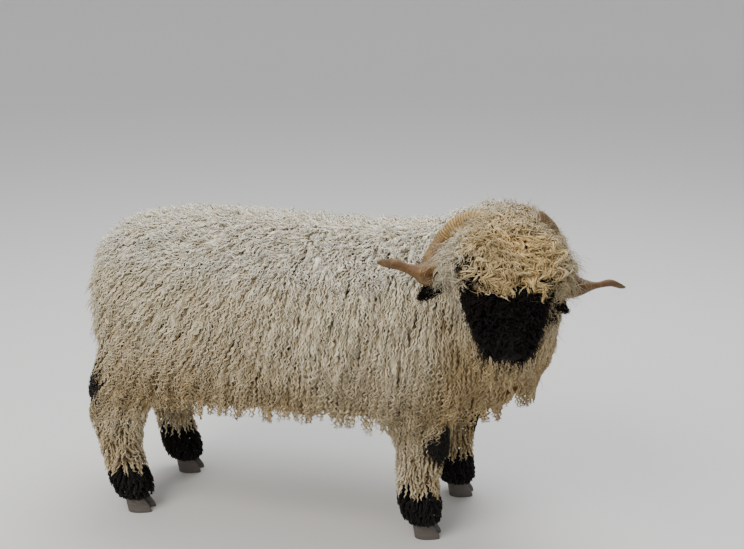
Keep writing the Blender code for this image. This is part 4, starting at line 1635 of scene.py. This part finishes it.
class SHEEP_OT_claws(bpy.types.Operator):
    """Make the eight cloven claws"""

    bl_idname = "sheep.claws"
    bl_label = "Claws"

    def execute(self, context):
        looks = context.scene.sheep_horns
        finish = Finish("claw")
        layers = finish.noise(finish.stretched(finish.here(), (3.0, 3.0, 26.0)), 9.0, distortion=0.4)
        dust = finish.noise(finish.here(), 120.0)
        colour = finish.mix(layers, looks.claw, tuple(c * 2.6 for c in looks.claw))
        colour = finish.mix(dust.eased(0.55, 0.8) * 0.35, colour, (0.22, 0.18, 0.14))
        finish.bump(layers, 0.5, 0.0012)
        material = finish.surface(Base_Color=colour, Roughness=dust * 0.3 + 0.42)
        for label, *_ in LEGS:
            for place in ("outer", "inner"):
                node = f"claw_{label}_{place}"
                dress(claw(f"horny_{node}", node), material, "claw", node)
        return {"FINISHED"}


def claw(name, node, sides=32):
    """A claw with a flat sole, a sloping toe and a rounded heel, in its solid's place."""
    low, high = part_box(node)

    def build(shape):
        rings = []
        for height, length, width, ahead in smooth_stations(CLAW, 5):
            centre = Vector((high[0] - CLAW_MIDDLE + ahead, (low[1] + high[1]) / 2, max(0.0, height)))
            ring = []
            for k in range(sides):
                angle = 2 * math.pi * k / sides
                along, aside = math.cos(angle), math.sin(angle)
                narrow = 1 - 0.38 * along
                ring.append(centre + Vector((along * length, aside * width * narrow, 0)) / 2)
            rings.append(ring)
        add_loft(shape, rings)

    return object_from(name, build)


class SHEEP_OT_stage(bpy.types.Operator):
    """Set the floor, the lights and the camera"""

    bl_idname = "sheep.stage"
    bl_label = "Stage"

    def execute(self, context):
        looks = context.scene.sheep_stage
        floor = object_from("floor", build_floor)
        floor.data.shade_smooth()
        floor.data.materials.append(Finish("floor").surface(Base_Color=looks.floor, Roughness=0.85))
        world = bpy.data.worlds.new("studio")
        context.scene.world = world
        world.use_nodes = True
        sky = world.node_tree.nodes["Background"].inputs
        sky["Color"].default_value, sky["Strength"].default_value = SKY_COLOUR, SKY_STRENGTH
        for box in SOFTBOXES:
            softbox(*box)
        ahead = Vector((-math.sin(looks.turn), math.cos(looks.turn), 0))
        right = Vector((math.cos(looks.turn), math.sin(looks.turn), 0))
        data = bpy.data.cameras.new("camera")
        data.sensor_width = SENSOR_WIDTH
        data.lens = SENSOR_WIDTH * FOCAL_PIXELS / PHOTO_WIDTH
        camera = new_object("camera", data)
        place = right * looks.camera_aside - ahead * looks.camera_distance + FROM_DRAWING
        camera.location = (place.x, place.y, looks.camera_height)
        camera.rotation_euler = (math.pi / 2 - looks.tilt, 0, looks.turn)
        context.scene.camera = camera
        return {"FINISHED"}


def build_floor(shape, sides=96):
    """A flat round floor with a rim that curves up."""
    loops = []
    for radius, height in FLOOR:
        angles = [2 * math.pi * k / sides for k in range(sides)]
        loops.append([shape.verts.new((radius * math.cos(a), radius * math.sin(a), height)) for a in angles])
    shape.faces.new(loops[0])
    for inner, outer in zip(loops, loops[1:]):
        for k in range(sides):
            after = (k + 1) % sides
            shape.faces.new((inner[k], outer[k], outer[after], inner[after]))


def softbox(name, place, size, power, colour):
    """A round soft light that faces the sheep."""
    data = bpy.data.lights.new(name, "AREA")
    data.shape, data.size, data.energy, data.color = "DISK", size, power, colour
    light = new_object(name, data)
    light.location = place
    aim = Vector((0, 0, 0.5)) - Vector(place)
    light.rotation_euler = aim.to_track_quat("-Z", "Y").to_euler()


class SHEEP_PT_panel(bpy.types.Panel):
    """Buttons that make each part, and the sizes and colours they use"""

    bl_label = "Blacknose Ewe"
    bl_space_type = "VIEW_3D"
    bl_region_type = "UI"
    bl_category = "Sheep"

    def draw(self, context):
        for group in GROUPS:
            box = self.layout.box()
            for name in GROUPS[group].__annotations__:
                box.prop(getattr(context.scene, group), name)
        for operator in OPERATORS:
            self.layout.operator(operator.bl_idname)


GROUPS = {
    "sheep_sizes": FleeceSizes,
    "sheep_colours": FleeceColours,
    "sheep_horns": HornLooks,
    "sheep_stage": StageLooks,
}
OPERATORS = (
    SHEEP_OT_skin,
    SHEEP_OT_horns,
    SHEEP_OT_underwool,
    SHEEP_OT_fleece,
    SHEEP_OT_wisps,
    SHEEP_OT_head_wool,
    SHEEP_OT_leg_wool,
    SHEEP_OT_eyes,
    SHEEP_OT_claws,
    SHEEP_OT_stage,
)


def register():
    for made in (*GROUPS.values(), *OPERATORS, SHEEP_PT_panel):
        bpy.utils.register_class(made)
    for name, group in GROUPS.items():
        setattr(bpy.types.Scene, name, bpy.props.PointerProperty(type=group))


def unregister():
    for name in GROUPS:
        delattr(bpy.types.Scene, name)
    for made in reversed((*GROUPS.values(), *OPERATORS, SHEEP_PT_panel)):
        bpy.utils.unregister_class(made)


def main():
    register()
    bpy.ops.sheep.skin()
    bpy.ops.sheep.horns()
    bpy.ops.sheep.underwool()
    bpy.ops.sheep.fleece()
    bpy.ops.sheep.wisps()
    bpy.ops.sheep.head_wool()
    bpy.ops.sheep.leg_wool()
    bpy.ops.sheep.eyes()
    bpy.ops.sheep.claws()
    bpy.ops.sheep.stage()


if __name__ == "__main__":
    main()
